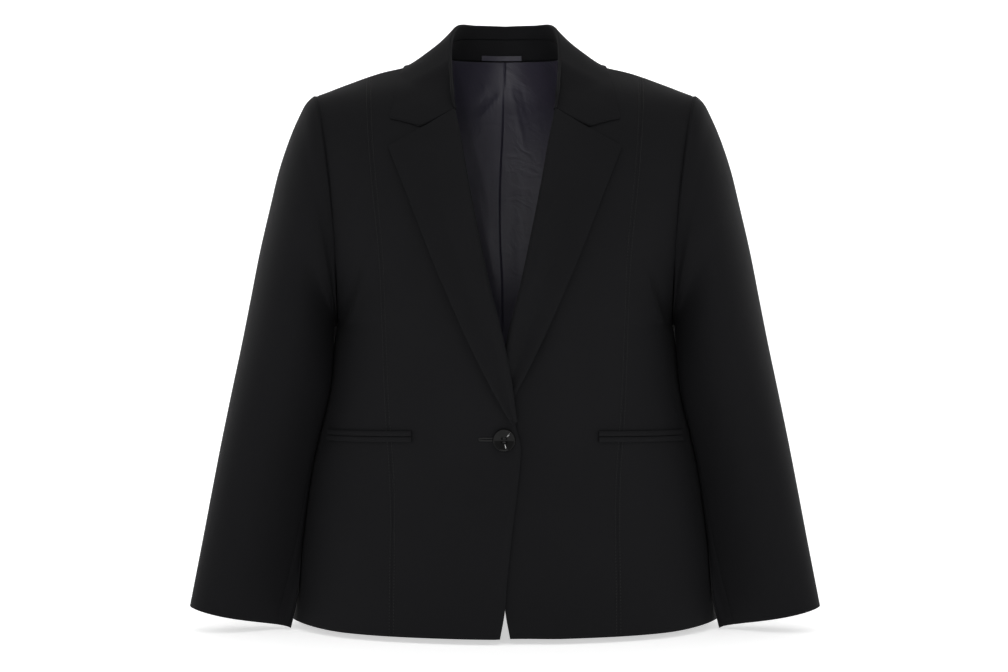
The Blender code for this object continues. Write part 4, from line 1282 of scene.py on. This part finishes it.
CAMERA_X, CAMERA_FAR, CAMERA_Z = -0.0011, 2.1, -0.2915
CAMERA_LENS, CAMERA_SENSOR = 66.36, 36.0  # in millimetres
FLOOR_Z = -0.616
# The paper's half width, its front edge, and where and how it turns up.
PAPER_SIDE, PAPER_FRONT, PAPER_TURN, PAPER_RADIUS = 9.0, -9.0, 2.5, 1.2
PAPER_HEIGHTS = (2.0, 5.0)  # of its last lines, above the floor
PAPER_TONE = 0.93
WORLD_LIGHT = 0.42
BUTTON_AT = (0.0, -0.16, -0.401)
# Name, place, aim, width and height, watts, and the angle of the beam.
SOFTBOXES = (
    ("top_front", (0.0, -1.6, 2.2), (0, 0, -0.2), (2.4, 1.6), 16, 180),
    ("left_side", (-2.4, -0.6, 0.6), (0, 0, -0.3), (1.2, 2.2), 5, 180),
    ("right_side", (2.4, -0.6, 0.6), (0, 0, -0.3), (1.2, 2.2), 5, 180),
    ("neck_fill_high", (-0.18, -1.9, 0.05), (0.02, 0.08, 0.03), (0.04, 0.04), 0.0098, 6),
    ("neck_fill_middle", (-0.18, -1.9, 0.0), (0.026, 0.1, -0.07), (0.04, 0.04), 0.0068, 5.5),
    ("neck_fill_low", (-0.1, -1.9, -0.05), (0.0, 0.11, -0.18), (0.04, 0.04), 0.0018, 4),
    ("button_glint", (0.75, -1.55, 0.35), BUTTON_AT, (0.3, 0.3), 0.008, 3),
    ("button_glint_high", (-0.18, -1.86, 0.31), BUTTON_AT, (0.6, 0.6), 0.032, 3),
    ("button_glint_low", (-0.14, -0.61, -0.597), BUTTON_AT, (0.15, 0.15), 0.0022, 3),
)


def place_camera():
    """The camera, level with the blazer's middle and far enough for its plain view."""
    eye = bpy.data.cameras.new("camera")
    eye.sensor_width, eye.lens, eye.clip_end = CAMERA_SENSOR, CAMERA_LENS, 50
    place = (CAMERA_X, -CAMERA_FAR, CAMERA_Z)
    bpy.context.scene.camera = put("camera", eye, place, (PI / 2, 0, 0))


def make_stage():
    """A white sheet of paper: a floor that turns up far behind in a quarter circle."""
    turn = np.linspace(0, PI / 2, 24)[1:]
    floor_y = between((PAPER_FRONT, PAPER_TURN), np.linspace(0, 1, 60))
    rise_y = PAPER_TURN + PAPER_RADIUS * np.append(np.sin(turn), [1, 1])
    rise_z = np.append(PAPER_RADIUS * (1 - np.cos(turn)), PAPER_HEIGHTS)
    y = np.append(floor_y, rise_y)
    z = np.append(0 * floor_y, rise_z) + FLOOR_Z
    at = points(np.linspace(-PAPER_SIDE, PAPER_SIDE, 25)[:, None], y, z)
    quads = quads_of(np.arange(at.size // 3).reshape(at.shape[:2]))
    mesh_piece("paper", at, quads, studio_paper(PAPER_TONE))


def soft_light(name, at, aim, size, watts, spread):
    """A softbox at a place, turned towards another, its beam narrowed by a grid."""
    light = bpy.data.lights.new(name, "AREA")
    light.shape = "RECTANGLE"
    light.size, light.size_y = size
    light.energy = watts
    light.spread = math.radians(spread)
    x, y, z = (there - here for there, here in zip(aim, at))
    put(name, light, at, (math.atan2(math.hypot(x, y), -z), 0, math.atan2(y, x) - PI / 2))


def light_studio():
    world = bpy.data.worlds.new("studio")
    world.use_nodes = True
    sky = world.node_tree.nodes["Background"]
    sky.inputs["Color"].default_value = grey(1.0)
    sky.inputs["Strength"].default_value = WORLD_LIGHT
    bpy.context.scene.world = world
    bpy.context.scene.view_settings.view_transform = "Standard"
    for softbox in SOFTBOXES:
        soft_light(*softbox)


place_camera()
make_cloth()
make_button()
make_topstitching()
make_buttonhole()
make_button_thread()
make_stage()
light_studio()
